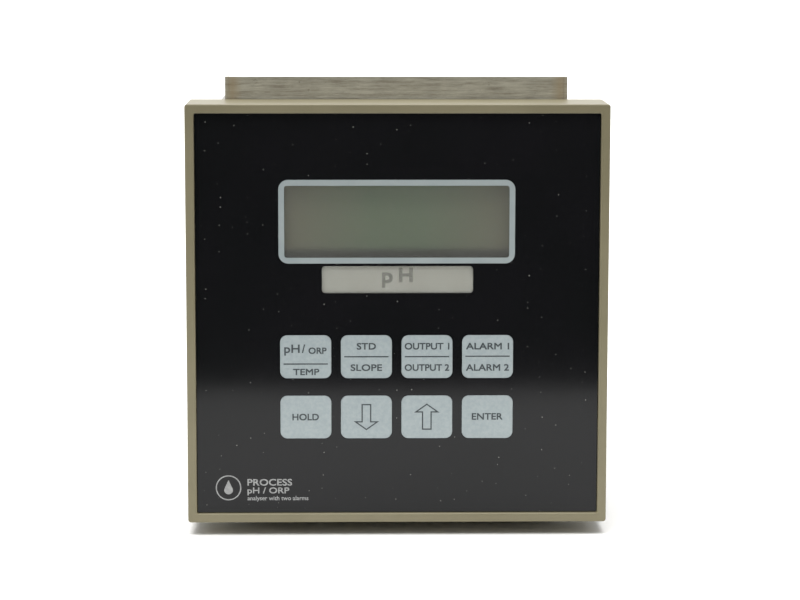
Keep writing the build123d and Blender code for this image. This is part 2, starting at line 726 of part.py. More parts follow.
def make_ground_stud():
    """Earth stud through the rear panel, with a thicker root that its nut runs on."""
    root_back = CASE_BACK + GROUND_NUT
    stud = rod(GROUND_ROOT + 1.6, PANEL_FRONT - 1.6, PANEL_FRONT, 0, GROUND_Z)
    stud += rod(GROUND_ROOT, PANEL_FRONT, root_back, 0, GROUND_Z)
    return stud + rod(GROUND_RADIUS, root_back, CASE_BACK + GROUND_REACH, 0, GROUND_Z)


def make_ground_nut():
    """Nut on the earth stud."""
    return hex_nut(8.0, GROUND_ROOT + FIT, CASE_BACK, CASE_BACK + GROUND_NUT, 0, GROUND_Z)


def make_rating_plate():
    """Blank foil plate on the side of the case."""
    x = CASE / 2
    return block((x, x + PLATE_THICK), PLATE_Y, PLATE_Z)


def make_clamp_nuts():
    """Block nuts that the clamp screws run in, each with a tongue in a notch of the rear panel."""
    half = NOTCH_HEIGHT / 2 + NUT_BEARING
    tongue_end = CASE / 2 - CASE_SHEET - 4 * FIT
    nuts = []
    for side in (-1, 1):
        x_range = sorted((side * (NOTCH_X - NUT_BEARING), side * (REAR_OPENING / 2 - 2 * FIT)))
        nut = block(x_range, (NUT_FRONT, PANEL_FRONT), (YOKE_Z - half, YOKE_Z + half))
        nut += nut_tongue(side, FIT, PANEL_FRONT, CASE_BACK, tongue_end)
        bore = rod(SCREW_RADIUS + FIT, NUT_FRONT - 1, CASE_BACK + 1, side * SCREW_X, YOKE_Z)
        nuts.append(nut - bore)
    return group(nuts)


# ---- Clamp yoke --------------------------------------------------------------------------------
def make_clamp_yoke():
    """Bent steel strap round the case: a lip at the front of each arm, and a web behind the case."""
    half_sheet = YOKE_SHEET / 2
    lip_y = YOKE_FRONT + half_sheet
    web_y = WEB_FRONT + half_sheet
    lower_z = LOWER_ARM_Z - half_sheet
    upper_z = UPPER_ARM_Z + half_sheet
    path = FilletPolyline(
        (lip_y, YOKE_TOP),
        (lip_y, upper_z),
        (web_y, upper_z),
        (web_y, lower_z),
        (lip_y, lower_z),
        (lip_y, YOKE_BOTTOM),
        radius=YOKE_BEND,
    )
    half_strap = YOKE_WIDTH / 2 - GUSSET
    yoke = extrude(Plane.YZ * trace(path, YOKE_SHEET), amount=half_strap, both=True)
    lip_back = YOKE_FRONT + GUSSET_LENGTH
    arm_top = UPPER_ARM_Z + YOKE_SHEET
    arm_bottom = LOWER_ARM_Z - YOKE_SHEET
    upper = Polygon(
        (YOKE_FRONT, YOKE_TOP),
        (YOKE_FRONT + 3.0, YOKE_TOP),
        (lip_back, arm_top),
        (WEB_BACK - 4.0, arm_top),
        (WEB_BACK - 4.0, UPPER_ARM_Z),
        (YOKE_FRONT, UPPER_ARM_Z),
        align=None,
    )
    lower = Polygon(
        (YOKE_FRONT, LOWER_ARM_Z),
        (WEB_BACK, LOWER_ARM_Z),
        (WEB_BACK, YOKE_BOTTOM),
        (YOKE_FRONT, YOKE_BOTTOM),
        align=None,
    )
    for side in (-1, 1):
        for outline in (upper, lower):
            wall = extrude(Plane.YZ * outline, amount=GUSSET / 2, both=True)
            yoke += Pos(side * (half_strap + GUSSET / 2), 0, 0) * wall
    web_sides = block(
        (-YOKE_WIDTH / 2, YOKE_WIDTH / 2),
        (WEB_FRONT, WEB_BACK),
        (LOWER_ARM_Z, UPPER_ARM_Z - 3.0),
    )
    window = (WINDOW_WIDTH, WINDOW_HEIGHT)
    yoke += web_sides
    yoke -= slab(*window, WEB_FRONT - 1, WEB_BACK + 1, 3.0, z=YOKE_Z)
    for side in (-1, 1):
        yoke -= rod(SCREW_RADIUS + 0.3, WEB_FRONT - 1, WEB_BACK + 1, side * SCREW_X, YOKE_Z)
        seam = block((-0.12, 0.12), (YOKE_FRONT - 1, YOKE_FRONT + 0.2), (YOKE_BOTTOM, YOKE_TOP + 1))
        yoke -= Pos(side * half_strap, 0, 0) * seam
    return yoke


def make_clamp_screw(side):
    """Thumb screw with a fluted head; its thread runs in a nut in the rear panel."""
    seat = WEB_BACK + FIT
    head_outline = Circle(HEAD_RADIUS)
    for flute in range(FLUTES):
        angle = 2 * pi * flute / FLUTES
        place = Pos(HEAD_RADIUS * cos(angle), HEAD_RADIUS * sin(angle))
        head_outline -= place * Circle(0.45)
    head = Pos(0, SCREW_BACK, 0) * extrude(Plane.XZ * head_outline, amount=HEAD_LENGTH - 1.5)
    head += rod(HEAD_RADIUS - 1.2, seat, SCREW_BACK - HEAD_LENGTH + 1.5)
    slot = slab(2 * HEAD_RADIUS + 2, 1.2, SCREW_BACK - 1.6, SCREW_BACK + 1)
    screw = head - slot + rod(SCREW_RADIUS, CASE_BACK - SCREW_REACH, seat)
    return Pos(side * SCREW_X, 0, YOKE_Z) * screw


def make_clamp_clip(side):
    """Ring that keeps a clamp screw in the yoke's web."""
    back = WEB_FRONT - FIT
    clip = rod(4.6, back - 0.8, back) - rod(SCREW_RADIUS + 0.005, back - 2, back + 1)
    return Pos(side * SCREW_X, 0, YOKE_Z) * clip


# ---- All pieces --------------------------------------------------------------------------------
PIECES = {
    "bezel": make_bezel,
    "panel_gasket": make_panel_gasket,
    "front_overlay": make_front_overlay,
    "window_lens": make_window_lens,
    "label_window": make_label_window,
    "label_card": make_label_card,
    "dome_spacer": make_dome_spacer,
    "switch_domes": make_switch_domes,
    "keypad_circuit": make_keypad_circuit,
    "keypad_tail": make_keypad_tail,
    "front_plate": make_front_plate,
    "plate_studs": make_plate_studs,
    "stud_nuts": make_stud_nuts,
    "lcd_glass": make_lcd_glass,
    "lcd_frame": make_lcd_frame,
    "lcd_holder": make_lcd_holder,
    "contact_strips": make_contact_strips,
    "display_board": make_display_board,
    "display_standoffs": make_display_standoffs,
    "display_screws": make_display_screws,
    "display_chips": make_display_chips,
    "card_guides": make_card_guides,
    "main_board": lambda: make_card(MAIN_BOARD_Z),
    "logic_chips": make_logic_chips,
    "power_board": lambda: make_card(POWER_BOARD_Z),
    "transformer_core": make_transformer_core,
    "transformer_coil": make_transformer_coil,
    "filter_capacitors": make_filter_capacitors,
    "alarm_relays": make_alarm_relays,
    "fuse": make_fuse,
    "fuse_clips": make_fuse_clips,
    "heat_sink": make_heat_sink,
    "regulators": make_regulators,
    "terminal_headers": make_terminal_headers,
    "ribbon_headers": make_ribbon_headers,
    "front_ribbon": make_front_ribbon,
    "case_sleeve": make_case_sleeve,
    "rear_panel": make_rear_panel,
    "panel_screws": make_panel_screws,
    "terminal_strip_left": lambda: make_terminal_strip(-1),
    "terminal_strip_right": lambda: make_terminal_strip(1),
    "terminal_clamps": make_terminal_clamps,
    "terminal_screws": make_terminal_screws,
    "ground_stud": make_ground_stud,
    "ground_nut": make_ground_nut,
    "rating_plate": make_rating_plate,
    "clamp_nuts": make_clamp_nuts,
    "clamp_yoke": make_clamp_yoke,
    "clamp_screw_left": lambda: make_clamp_screw(-1),
    "clamp_screw_right": lambda: make_clamp_screw(1),
    "clamp_clip_left": lambda: make_clamp_clip(-1),
    "clamp_clip_right": lambda: make_clamp_clip(1),
}


def main():
    """Write one STEP file for each piece."""
    os.makedirs("parts", exist_ok=True)
    for name, make in PIECES.items():
        export_step(STAND * make(), f"parts/{name}.step")
    for name, x, z in key_places():
        export_step(STAND * make_key(x, z), f"parts/{name}.step")


main()
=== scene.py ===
"""Looks of a panel-mounted pH analyser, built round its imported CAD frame.

Every place comes from the frame's own boxes. Sizes are in millimetres in the dataclasses and are
turned to metres where a mesh or a texture scale is made.
"""

import logging
import math
from dataclasses import dataclass, field
from enum import Enum
from typing import Any, Iterable, Optional

import bmesh
import bpy
from mathutils import Matrix, Vector


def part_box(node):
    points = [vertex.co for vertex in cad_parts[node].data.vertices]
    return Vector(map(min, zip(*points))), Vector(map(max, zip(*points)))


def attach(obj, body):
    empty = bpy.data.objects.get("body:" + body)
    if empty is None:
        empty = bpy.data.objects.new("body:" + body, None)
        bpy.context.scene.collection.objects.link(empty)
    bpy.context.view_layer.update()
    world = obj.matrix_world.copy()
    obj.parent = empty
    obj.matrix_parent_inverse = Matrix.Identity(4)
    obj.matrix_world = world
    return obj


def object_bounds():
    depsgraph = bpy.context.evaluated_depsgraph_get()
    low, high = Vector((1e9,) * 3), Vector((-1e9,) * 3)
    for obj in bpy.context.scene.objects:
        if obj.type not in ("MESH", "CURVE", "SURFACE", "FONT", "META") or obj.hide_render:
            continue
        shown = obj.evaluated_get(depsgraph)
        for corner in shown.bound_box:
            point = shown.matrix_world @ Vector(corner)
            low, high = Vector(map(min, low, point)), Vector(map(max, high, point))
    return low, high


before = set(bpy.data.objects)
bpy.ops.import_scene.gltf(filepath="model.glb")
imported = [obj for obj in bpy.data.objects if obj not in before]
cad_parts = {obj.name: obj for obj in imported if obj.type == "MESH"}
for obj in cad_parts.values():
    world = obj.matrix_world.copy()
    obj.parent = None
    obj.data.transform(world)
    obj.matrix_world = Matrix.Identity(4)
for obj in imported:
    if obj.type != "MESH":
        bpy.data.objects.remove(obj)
CAD_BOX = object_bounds()

LOG = logging.getLogger("analyser")
MM = 0.001

Piece = bpy.types.Object
Socket = bpy.types.NodeSocket
Tree = bpy.types.NodeTree
Outline = list[tuple[float, float]]
Colour = tuple[float, float, float, float]


# ---- Small tools ------------------------------------------------------------------------------
def linear(code: str) -> Colour:
    """Turn an sRGB hex colour to linear light.

    Args:
        code: Colour as "#RRGGBB".

    Returns:
        Linear red, green, blue and an alpha of 1.
    """
    parts = [int(code[i : i + 2], 16) / 255 for i in (1, 3, 5)]
    red, green, blue = (c / 12.92 if c <= 0.04045 else ((c + 0.055) / 1.055) ** 2.4 for c in parts)
    return (red, green, blue, 1.0)


def per_mm(size: float) -> float:
    """Texture scale that gives features of this size in millimetres."""
    return 1 / (size * MM)


def add_node(
    tree: Tree,
    kind: str,
    settings: Optional[dict[Any, Any]] = None,
    links: Optional[dict[Any, Socket]] = None,
) -> bpy.types.Node:
    """Add one shader node with its settings and links.

    Args:
        tree: The material's node tree.
        kind: Blender's name for the node type.
        settings: Values by attribute name, or by input name or number.
        links: Output sockets to join, by input name or number.

    Returns:
        The new node.
    """
    node = tree.nodes.new(kind)
    for key, value in (settings or {}).items():
        if isinstance(key, str) and hasattr(node, key):
            setattr(node, key, value)
        else:
            node.inputs[key].default_value = value
    for key, socket in (links or {}).items():
        tree.links.new(socket, node.inputs[key])
    return node


# ---- Finishes ---------------------------------------------------------------------------------
@dataclass(frozen=True)
class Finish:
    """A surface: two close colours in soft patches, an uneven gloss and a fine relief.

    Attributes:
        name: What the surface is made of.
        colour: Main colour, sRGB hex.
        shade: Second colour, found in the patches.
        patch: Size of a patch in millimetres.
        roughness: Middle of the roughness.
        swing: How far the roughness wanders each way.
        metallic: 1 for bare metal.
        ior: Index of refraction of a non-metal.
        mirror: Strength of the surface's mirror, 0.5 for the full strength that its ior gives.
        coat: Strength of a clear layer on top.
        grain: Size of the relief in millimetres.
        depth: Height of the relief in millimetres.
        stretch: How much longer the grain is along X, Y and Z.
        alpha: Below 1 on a clear pane.
    """

    name: str
    colour: str
    shade: str
    patch: float = 18.0
    roughness: float = 0.5
    swing: float = 0.06
    metallic: float = 0.0
    ior: float = 1.5
    mirror: float = 0.5
    coat: float = 0.0
    grain: float = 0.4
    depth: float = 0.01
    stretch: tuple[float, float, float] = (1.0, 1.0, 1.0)
    alpha: float = 1.0

    def material(self) -> bpy.types.Material:
        """Make the material once, and hand out the same one after that.

        Returns:
            The finish's own material.
        """
        known = bpy.data.materials.get(self.name)
        if known:
            return known
        made = bpy.data.materials.new(self.name)
        made.use_nodes = True
        tree = made.node_tree
        tree.nodes.clear()
        place = add_node(tree, "ShaderNodeTexCoord").outputs["Object"]
        settings = {
            "Metallic": self.metallic,
            "IOR": self.ior,
            "Specular IOR Level": self.mirror,
            "Coat Weight": self.coat,
            "Coat Roughness": 0.08,
            "Alpha": self.alpha,
        }
        links = {
            "Base Color": self.colours(tree, place),
            "Roughness": self.gloss(tree, place),
            "Normal": self.relief(tree, place),
        }
        shader = add_node(tree, "ShaderNodeBsdfPrincipled", settings, links)
        add_node(tree, "ShaderNodeOutputMaterial", None, {"Surface": shader.outputs["BSDF"]})
        return made

    def colours(self, tree: Tree, place: Socket) -> Socket:
        """Colour of the surface: soft patches of the two colours.

        Args:
            tree: The node tree.
            place: The point on the object.

        Returns:
            The colour socket.
        """
        scale = {"Scale": per_mm(self.patch), "Detail": 4.0, "Roughness": 0.6}
        patches = add_node(tree, "ShaderNodeTexNoise", scale, {"Vector": place})
        edges = {"From Min": 0.35, "From Max": 0.65}
        factor = add_node(tree, "ShaderNodeMapRange", edges, {"Value": patches.outputs["Fac"]})
        pair = {"data_type": "RGBA", 6: linear(self.colour), 7: linear(self.shade)}
        return add_node(tree, "ShaderNodeMix", pair, {0: factor.outputs[0]}).outputs[2]

    def gloss(self, tree: Tree, place: Socket) -> Socket:
        """Roughness that wanders a little, as on any handled surface.

        Args:
            tree: The node tree.
            place: The point on the object.

        Returns:
            The roughness socket.
        """
        scale = {"Scale": per_mm(self.patch / 3), "Detail": 3.0}
        wander = add_node(tree, "ShaderNodeTexNoise", scale, {"Vector": place})
        span = {"To Min": self.roughness - self.swing, "To Max": self.roughness + self.swing}
        return add_node(
            tree, "ShaderNodeMapRange", span, {"Value": wander.outputs["Fac"]}
        ).outputs[0]

    def relief(self, tree: Tree, place: Socket) -> Socket:
        """Fine relief of the surface, drawn out along the grain.

        Args:
            tree: The node tree.
            place: The point on the object.

        Returns:
            The normal socket.
        """
        shrink = {"Scale": tuple(1 / s for s in self.stretch)}
        along = add_node(tree, "ShaderNodeMapping", shrink, {"Vector": place})
        scale = {"Scale": per_mm(self.grain), "Detail": 2.0}
        bumps = add_node(tree, "ShaderNodeTexNoise", scale, {"Vector": along.outputs[0]})
        height = {"Strength": 1.0, "Distance": self.depth * MM}
        return add_node(tree, "ShaderNodeBump", height, {"Height": bumps.outputs["Fac"]}).outputs[0]


@dataclass(frozen=True)
class DustyFilm(Finish):
    """Gloss film with a few settled specks of dust.

    Attributes:
        dust: Colour of a speck.
        spacing: Size of the cell that may hold one speck, in millimetres.
        speck: Largest radius of a speck, in millimetres.
    """

    dust: str = "#90908B"
    spacing: float = 5.0
    speck: float = 0.18

    def colours(self, tree: Tree, place: Socket) -> Socket:
        """Film colour with specks; a cell's own random value decides how large its speck is.

        Args:
            tree: The node tree.
            place: The point on the object.

        Returns:
            The colour socket.
        """
        film = Finish.colours(self, tree, place)
        upright = add_node(
            tree, "ShaderNodeMapping", {"Rotation": (-math.pi / 2, 0, 0)}, {"Vector": place}
        )
        cells = add_node(
            tree,
            "ShaderNodeTexVoronoi",
            {"voronoi_dimensions": "2D", "Scale": per_mm(self.spacing)},
            {"Vector": upright.outputs[0]},
        )
        chance = add_node(tree, "ShaderNodeSeparateColor", None, {0: cells.outputs["Color"]})
        rare = add_node(
            tree, "ShaderNodeMath", {"operation": "POWER", 1: 3.0}, {0: chance.outputs[0]}
        )
        radius = add_node(
            tree,
            "ShaderNodeMath",
            {"operation": "MULTIPLY", 1: self.speck / self.spacing},
            {0: rare.outputs[0]},
        )
        speck = add_node(
            tree,
            "ShaderNodeMath",
            {"operation": "LESS_THAN"},
            {0: cells.outputs["Distance"], 1: radius.outputs[0]},
        )
        mixed = {"data_type": "RGBA", 7: linear(self.dust)}
        return add_node(tree, "ShaderNodeMix", mixed, {0: speck.outputs[0], 6: film}).outputs[2]


# The wave texture turns through this angle, in radians, over one unit of its scale.
WAVE_TURN = 20.0


class Axis(Enum):
    """The axis that stripes step along."""

    X = "X"
    Y = "Y"


@dataclass(frozen=True)
class Striped(Finish):
    """A finish with regular stripes across one axis.

    Attributes:
        stripe: Colour of the stripe.
        pitch: Distance from one stripe to the next, in millimetres.
        axis: The axis that the stripes step along.
        ridge: Height of the stripes, in millimetres.
    """

    stripe: str = "#202020"
    pitch: float = 1.0
    axis: Axis = Axis.X
    ridge: float = 0.0

    def bands(self, tree: Tree, place: Socket) -> Socket:
        """A value that swings once for each stripe.

        Args:
            tree: The node tree.
            place: The point on the object.

        Returns:
            A socket from 0 to 1.
        """
        settings = {
            "wave_type": "BANDS",
            "bands_direction": self.axis.value,
            "Scale": per_mm(self.pitch) * 2 * math.pi / WAVE_TURN,
        }
        return add_node(tree, "ShaderNodeTexWave", settings, {"Vector": place}).outputs["Fac"]

    def colours(self, tree: Tree, place: Socket) -> Socket:
        """Ground colour with the stripes over it.

        Args:
            tree: The node tree.
            place: The point on the object.

        Returns:
            The colour socket.
        """
        ground = Finish.colours(self, tree, place)
        edges = {"From Min": 0.45, "From Max": 0.6}
        mask = add_node(tree, "ShaderNodeMapRange", edges, {"Value": self.bands(tree, place)})
        mixed = {"data_type": "RGBA", 7: linear(self.stripe)}
        return add_node(tree, "ShaderNodeMix", mixed, {0: mask.outputs[0], 6: ground}).outputs[2]

    def relief(self, tree: Tree, place: Socket) -> Socket:
        """Stripes standing up from the grain.

        Args:
            tree: The node tree.
            place: The point on the object.

        Returns:
            The normal socket.
        """
        grain = Finish.relief(self, tree, place)
        height = {"Strength": 1.0, "Distance": self.ridge * MM}
        links = {"Height": self.bands(tree, place), "Normal": grain}
        return add_node(tree, "ShaderNodeBump", height, links).outputs[0]


@dataclass(frozen=True)
class BrushedStrap(Finish):
    """Bare steel strap, brushed along X, with a straw band near each end, and stained.

    Attributes:
        half_width: Half of the strap's width, in millimetres.
        tint: Straw colour of the band near each end.
        tint_at: Distance from the strap's end to the middle of the tint, in millimetres.
        tint_width: Half width of the tint, in millimetres.
        stain: Colour of the spots.
        score: How much darker the belt's deepest scores are.
    """

    half_width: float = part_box("clamp_yoke")[1].x / MM
    tint: str = "#A99778"
    tint_at: float = 2.6
    tint_width: float = 3.4
    stain: str = "#43362B"
    score: str = "#A69E95"

    def colours(self, tree: Tree, place: Socket) -> Socket:
        """Steel with long streaks, a straw band near each end and a few dark spots.

        Args:
            tree: The node tree.
            place: The point on the object.

        Returns:
            The colour socket.
        """
        steel = Finish.colours(self, tree, place)
        drawn_out = add_node(
            tree, "ShaderNodeMapping", {"Scale": (0.07, 1.0, 1.0)}, {"Vector": place}
        )
        streaks = add_node(
            tree,
            "ShaderNodeTexNoise",
            {"Scale": per_mm(1.1), "Detail": 8.0, "Roughness": 0.8},
            {"Vector": drawn_out.outputs[0]},
        )
        contrast = {"From Min": 0.42, "From Max": 0.7}
        scored = add_node(tree, "ShaderNodeMapRange", contrast, {"Value": streaks.outputs["Fac"]})
        streaky = add_node(
            tree,
            "ShaderNodeMix",
            {"data_type": "RGBA", "blend_type": "MULTIPLY", 7: linear(self.score)},
            {0: scored.outputs[0], 6: steel},
        )
        across = add_node(tree, "ShaderNodeSeparateXYZ", None, {0: place}).outputs["X"]
        out = add_node(tree, "ShaderNodeMath", {"operation": "ABSOLUTE"}, {0: across}).outputs[0]
        away = add_node(
            tree,
            "ShaderNodeMath",
            {"operation": "SUBTRACT", 1: (self.half_width - self.tint_at) * MM},
            {0: out},
        ).outputs[0]
        near = add_node(tree, "ShaderNodeMath", {"operation": "ABSOLUTE"}, {0: away}).outputs[0]
        fade = {
            "From Min": self.tint_width * MM,
            "From Max": 0.1 * self.tint_width * MM,
            "To Max": 0.6,
        }
        band = add_node(tree, "ShaderNodeMapRange", fade, {"Value": near}).outputs[0]
        tinted = add_node(
            tree,
            "ShaderNodeMix",
            {"data_type": "RGBA", 7: linear(self.tint)},
            {0: band, 6: streaky.outputs[2]},
        )
        spots = add_node(
            tree,
            "ShaderNodeTexNoise",
            {"Scale": per_mm(3.0), "Detail": 6.0, "Roughness": 0.75},
            {"Vector": place},
        )
        only_dark = {"From Min": 0.62, "From Max": 0.69, "To Max": 0.75}
        mask = add_node(tree, "ShaderNodeMapRange", only_dark, {"Value": spots.outputs["Fac"]})
        return add_node(
            tree,
            "ShaderNodeMix",
            {"data_type": "RGBA", 7: linear(self.stain)},
            {0: mask.outputs[0], 6: tinted.outputs[2]},
        ).outputs[2]


@dataclass(frozen=True)
class LiquidCrystal(Finish):
    """Unlit liquid-crystal cell: grey-green in the middle, browner towards its ends, with painted
    shade along its lower edge.

    Attributes:
        ends: Colour at the two ends.
        reach: Distance from the middle to the full end colour, in millimetres.
        shadow: Colour of the painted shade along the lower edge, where the window's recess shades
            the cell.
        sill: Height of the window's lower edge, in millimetres.
        rise: How far up the painted shade fades out, in millimetres.
    """

    ends: str = "#5A5846"
    reach: float = 36.0
    shadow: str = "#33302A"
    sill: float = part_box("window_lens")[0].z / MM
    rise: float = 4.2

    def colours(self, tree: Tree, place: Socket) -> Socket:
        """Patches of grey-green that turn brown with distance from the middle, with painted shade
        at the lower edge.

        Args:
            tree: The node tree.
            place: The point on the object.

        Returns:
            The colour socket.
        """
        cell = Finish.colours(self, tree, place)
        across = add_node(tree, "ShaderNodeSeparateXYZ", None, {0: place}).outputs["X"]
        out = add_node(tree, "ShaderNodeMath", {"operation": "ABSOLUTE"}, {0: across}).outputs[0]
        fade = {"From Min": 0.25 * self.reach * MM, "From Max": self.reach * MM}
        factor = add_node(tree, "ShaderNodeMapRange", fade, {"Value": out})
        mixed = {"data_type": "RGBA", 7: linear(self.ends)}
        whole = add_node(tree, "ShaderNodeMix", mixed, {0: factor.outputs[0], 6: cell})
        # Painted shade of the window's recess: darkest at the cell's lower edge, gone a few
        # millimetres up.
        up = add_node(tree, "ShaderNodeSeparateXYZ", None, {0: place}).outputs["Z"]
        edge = {"From Min": (self.sill + self.rise) * MM, "From Max": (self.sill + 0.5) * MM}
        soft = {"interpolation_type": "SMOOTHSTEP", **edge}
        low = add_node(tree, "ShaderNodeMapRange", soft, {"Value": up})
        mixed = {"data_type": "RGBA", 7: linear(self.shadow)}
        return add_node(
            tree, "ShaderNodeMix", mixed, {0: low.outputs[0], 6: whole.outputs[2]}
        ).outputs[2]


@dataclass(frozen=True)
class Laminate(Finish):
    """Circuit board: green resist with the copper tracks showing as a paler green.

    Attributes:
        track: Colour over copper.
        track_pitch: Distance between tracks, in millimetres.
    """

    track: str = "#2E7A48"
    track_pitch: float = 2.54

    def colours(self, tree: Tree, place: Socket) -> Socket:
        """Resist with square-cornered tracks, drawn wider than real ones so that they show.

        Args:
            tree: The node tree.
            place: The point on the object.

        Returns:
            The colour socket.
        """
        resist = Finish.colours(self, tree, place)
        cells = add_node(
            tree,
            "ShaderNodeTexVoronoi",
            {"distance": "CHEBYCHEV", "feature": "F1", "Scale": per_mm(3 * self.track_pitch)},
            {"Vector": place},
        )
        rings = add_node(
            tree,
            "ShaderNodeMath",
            {"operation": "PINGPONG", 1: 0.12},
            {0: cells.outputs["Distance"]},
        )
        lines = add_node(
            tree, "ShaderNodeMath", {"operation": "GREATER_THAN", 1: 0.075}, {0: rings.outputs[0]}
        )
        mixed = {"data_type": "RGBA", 7: linear(self.track)}
        return add_node(tree, "ShaderNodeMix", mixed, {0: lines.outputs[0], 6: resist}).outputs[2]


# Moulded ABS, spark-eroded tool: an even olive grey with a soft sheen and a very fine texture.
BEZEL_ABS = Finish(
    "moulded_olive_abs", "#837C62", "#7C755B", 30.0, 0.42, 0.04, ior=1.53, grain=0.25, depth=0.004
)
# Black ink printed behind a clear polyester film: deep black under a hard gloss, with dust on it.
OVERLAY_FILM = DustyFilm(
    "black_backed_polyester", "#141416", "#111213", 40.0, 0.1, 0.02, ior=1.49, mirror=0.31,
    grain=14.0, depth=0.01,
)
# Pale blue-grey ink under the same film: flat colour, film gloss.
FRAME_INK = Finish(
    "blue_grey_ink", "#A0A9A9", "#98A2A3", 12.0, 0.2, 0.03, ior=1.57, grain=0.3, depth=0.001
)
# Textured polyester over pale ink: an even grey with the faint sparkle of a fine matt texture. The
# texture is drawn 0.5 mm wide, coarser than the real one.
KEY_FILM = Finish(
    "textured_key_polyester", "#A4AEAF", "#9BA6A8", 1.3, 0.24, 0.05, ior=1.57, grain=0.5,
    depth=0.004,
)
# Dark grey screen ink: slightly raised, dull and a little uneven in density.
LEGEND_INK = Finish(
    "dark_grey_screen_ink", "#343B3E", "#3E4649", 1.5, 0.5, 0.08, grain=0.2, depth=0.002
)
# Pale grey title ink on the black face, a little thin in places.
TITLE_INK = Finish(
    "pale_grey_screen_ink", "#A5A6A5", "#929392", 1.2, 0.4, 0.06, grain=0.2, depth=0.002
)
# Mid-grey letters printed on the card.
CARD_INK = Finish("grey_card_ink", "#676760", "#73726B", 2.0, 0.7, 0.05, grain=0.2, depth=0.002)
# Uncoated off-white card: chalky, with a faint fibre.
CARD_STOCK = Finish(
    "off_white_card", "#9D9D94", "#96958B", 14.0, 0.8, 0.05, grain=0.35, depth=0.008
)
# Hard-coated clear polyester: nearly invisible, with a thin gloss.
CLEAR_PANE = Finish(
    "clear_polyester_pane", "#D8DCD6", "#D2D6D0", 30.0, 0.06, 0.02, ior=1.57, alpha=0.05, depth=0.0
)
# Polarised glass cell with no voltage on it: a dull grey-green with a satin front polariser.
# The cell's lower edge carries painted shade from the window's recess.
LCD_CELL = LiquidCrystal(
    "unlit_liquid_crystal_cell", "#4D5A42", "#515C45", 22.0, 0.4, 0.04, grain=30.0, depth=0.0
)
# Bare low-carbon steel strap, belt-brushed along its length and never painted. A film of oxide has
# dulled it, so most of the light is scattered instead of mirrored. The belt's scores are drawn
# about 1 mm wide, several times coarser than real ones, so that they show.
STRAP_STEEL = BrushedStrap(
    "brushed_bare_steel", "#C5C3B5", "#B8B5A8", 9.0, 0.45, 0.09, metallic=0.25, grain=0.35,
    depth=0.012, stretch=(45.0, 1.0, 1.0),
)
# Baked enamel on folded steel: warm grey, low gloss, faint orange peel.
CASE_ENAMEL = Finish(
    "grey_baked_enamel", "#6E6B60", "#69665C", 40.0, 0.42, 0.05, coat=0.15, grain=1.3, depth=0.012
)
# Chromated aluminium sheet: pale, satin, brushed upwards.
CHROMATE_SHEET = Finish(
    "chromated_aluminium", "#B9B7A9", "#B0AE9F", 16.0, 0.38, 0.06, metallic=1.0, grain=0.3,
    depth=0.008, stretch=(1.0, 1.0, 40.0),
)
# Bright zinc plating: cool grey with a slight mottle.
ZINC_PLATE = Finish(
    "bright_zinc_plate", "#AEB0AE", "#9FA2A2", 3.0, 0.28, 0.07, metallic=1.0, grain=0.3, depth=0.004
)
# The same plating on a rolled thread: its ridges are drawn at twice the real 0.8 mm pitch, so that
# they show.
# The darker stripe at each turn is painted shade of the thread's form, not a colour of the plating.
ZINC_THREAD = Striped(
    "zinc_plated_screw", "#AEB0AE", "#9FA2A2", 3.0, 0.28, 0.07, metallic=1.0, stripe="#7E807E",
    pitch=1.6, axis=Axis.Y, ridge=0.05,
)
# Nickel on brass: warm, fairly bright.
NICKEL_BRASS = Finish(
    "nickel_plated_brass", "#C2BBA6", "#B3AB93", 2.5, 0.25, 0.07, metallic=1.0, depth=0.003
)
# Spring stainless: bright and nearly smooth.
SPRING_STEEL = Finish(
    "spring_stainless", "#BFC0C0", "#B4B5B6", 4.0, 0.2, 0.05, metallic=1.0, depth=0.002
)
# Tinned sheet: soft white metal.
TINNED_SHEET = Finish("tinned_sheet", "#A8A8A4", "#9C9C98", 6.0, 0.35, 0.06, metallic=1.0)
# Phenolic moulding: near black with a brown cast and a moderate gloss.
PHENOLIC = Finish("black_phenolic", "#1D1B1A", "#242120", 7.0, 0.33, 0.06, grain=0.6, depth=0.006)
# Closed-cell neoprene: dull black and finely pitted.
NEOPRENE = Finish("neoprene_foam", "#1B1B1C", "#222223", 5.0, 0.85, 0.05, grain=0.5, depth=0.05)
# Polyester spacer and printed circuit sheets.
SPACER_FILM = Finish("grey_polyester_sheet", "#3A3A38", "#40403E", 10.0, 0.5, 0.05)
CIRCUIT_FILM = Striped(
    "silver_printed_polyester", "#8F9488", "#888D82", 10.0, 0.4, 0.05, stripe="#B9BBB4", pitch=2.0
)
# Glass-fibre laminate under green resist.
BOARD_LAMINATE = Laminate(
    "green_circuit_laminate", "#14502C", "#175A33", 9.0, 0.3, 0.06, depth=0.01
)
# Moulded epoxy of chip packages: matt black.
CHIP_EPOXY = Finish("black_epoxy", "#1A1A1C", "#202022", 3.0, 0.6, 0.06, grain=0.2, depth=0.004)
# Black glass-filled nylon of holders and sockets.
BLACK_NYLON = Finish("black_glass_filled_nylon", "#18181A", "#1F1F21", 5.0, 0.55, 0.06)
# Natural nylon of the card guides: milky.
NATURAL_NYLON = Finish("natural_nylon", "#D6D2C2", "#CDC9B8", 8.0, 0.5, 0.06)
# Alternate black and grey layers of a rubber contact, drawn coarser than the real 0.1 mm.
CONTACT_RUBBER = Striped(
    "layered_contact_rubber", "#B9B9B6", "#B2B2AE", 4.0, 0.7, 0.05, stripe="#2A2A2A", pitch=0.6
)
# Varnished iron laminations, seen edge on, drawn 1 mm apart instead of 0.5 mm so that they show.
LAMINATIONS = Striped(
    "varnished_laminations", "#4A4642", "#403C39", 5.0, 0.45, 0.08, stripe="#2C2927", pitch=1.0,
    axis=Axis.Y, ridge=0.05,
)
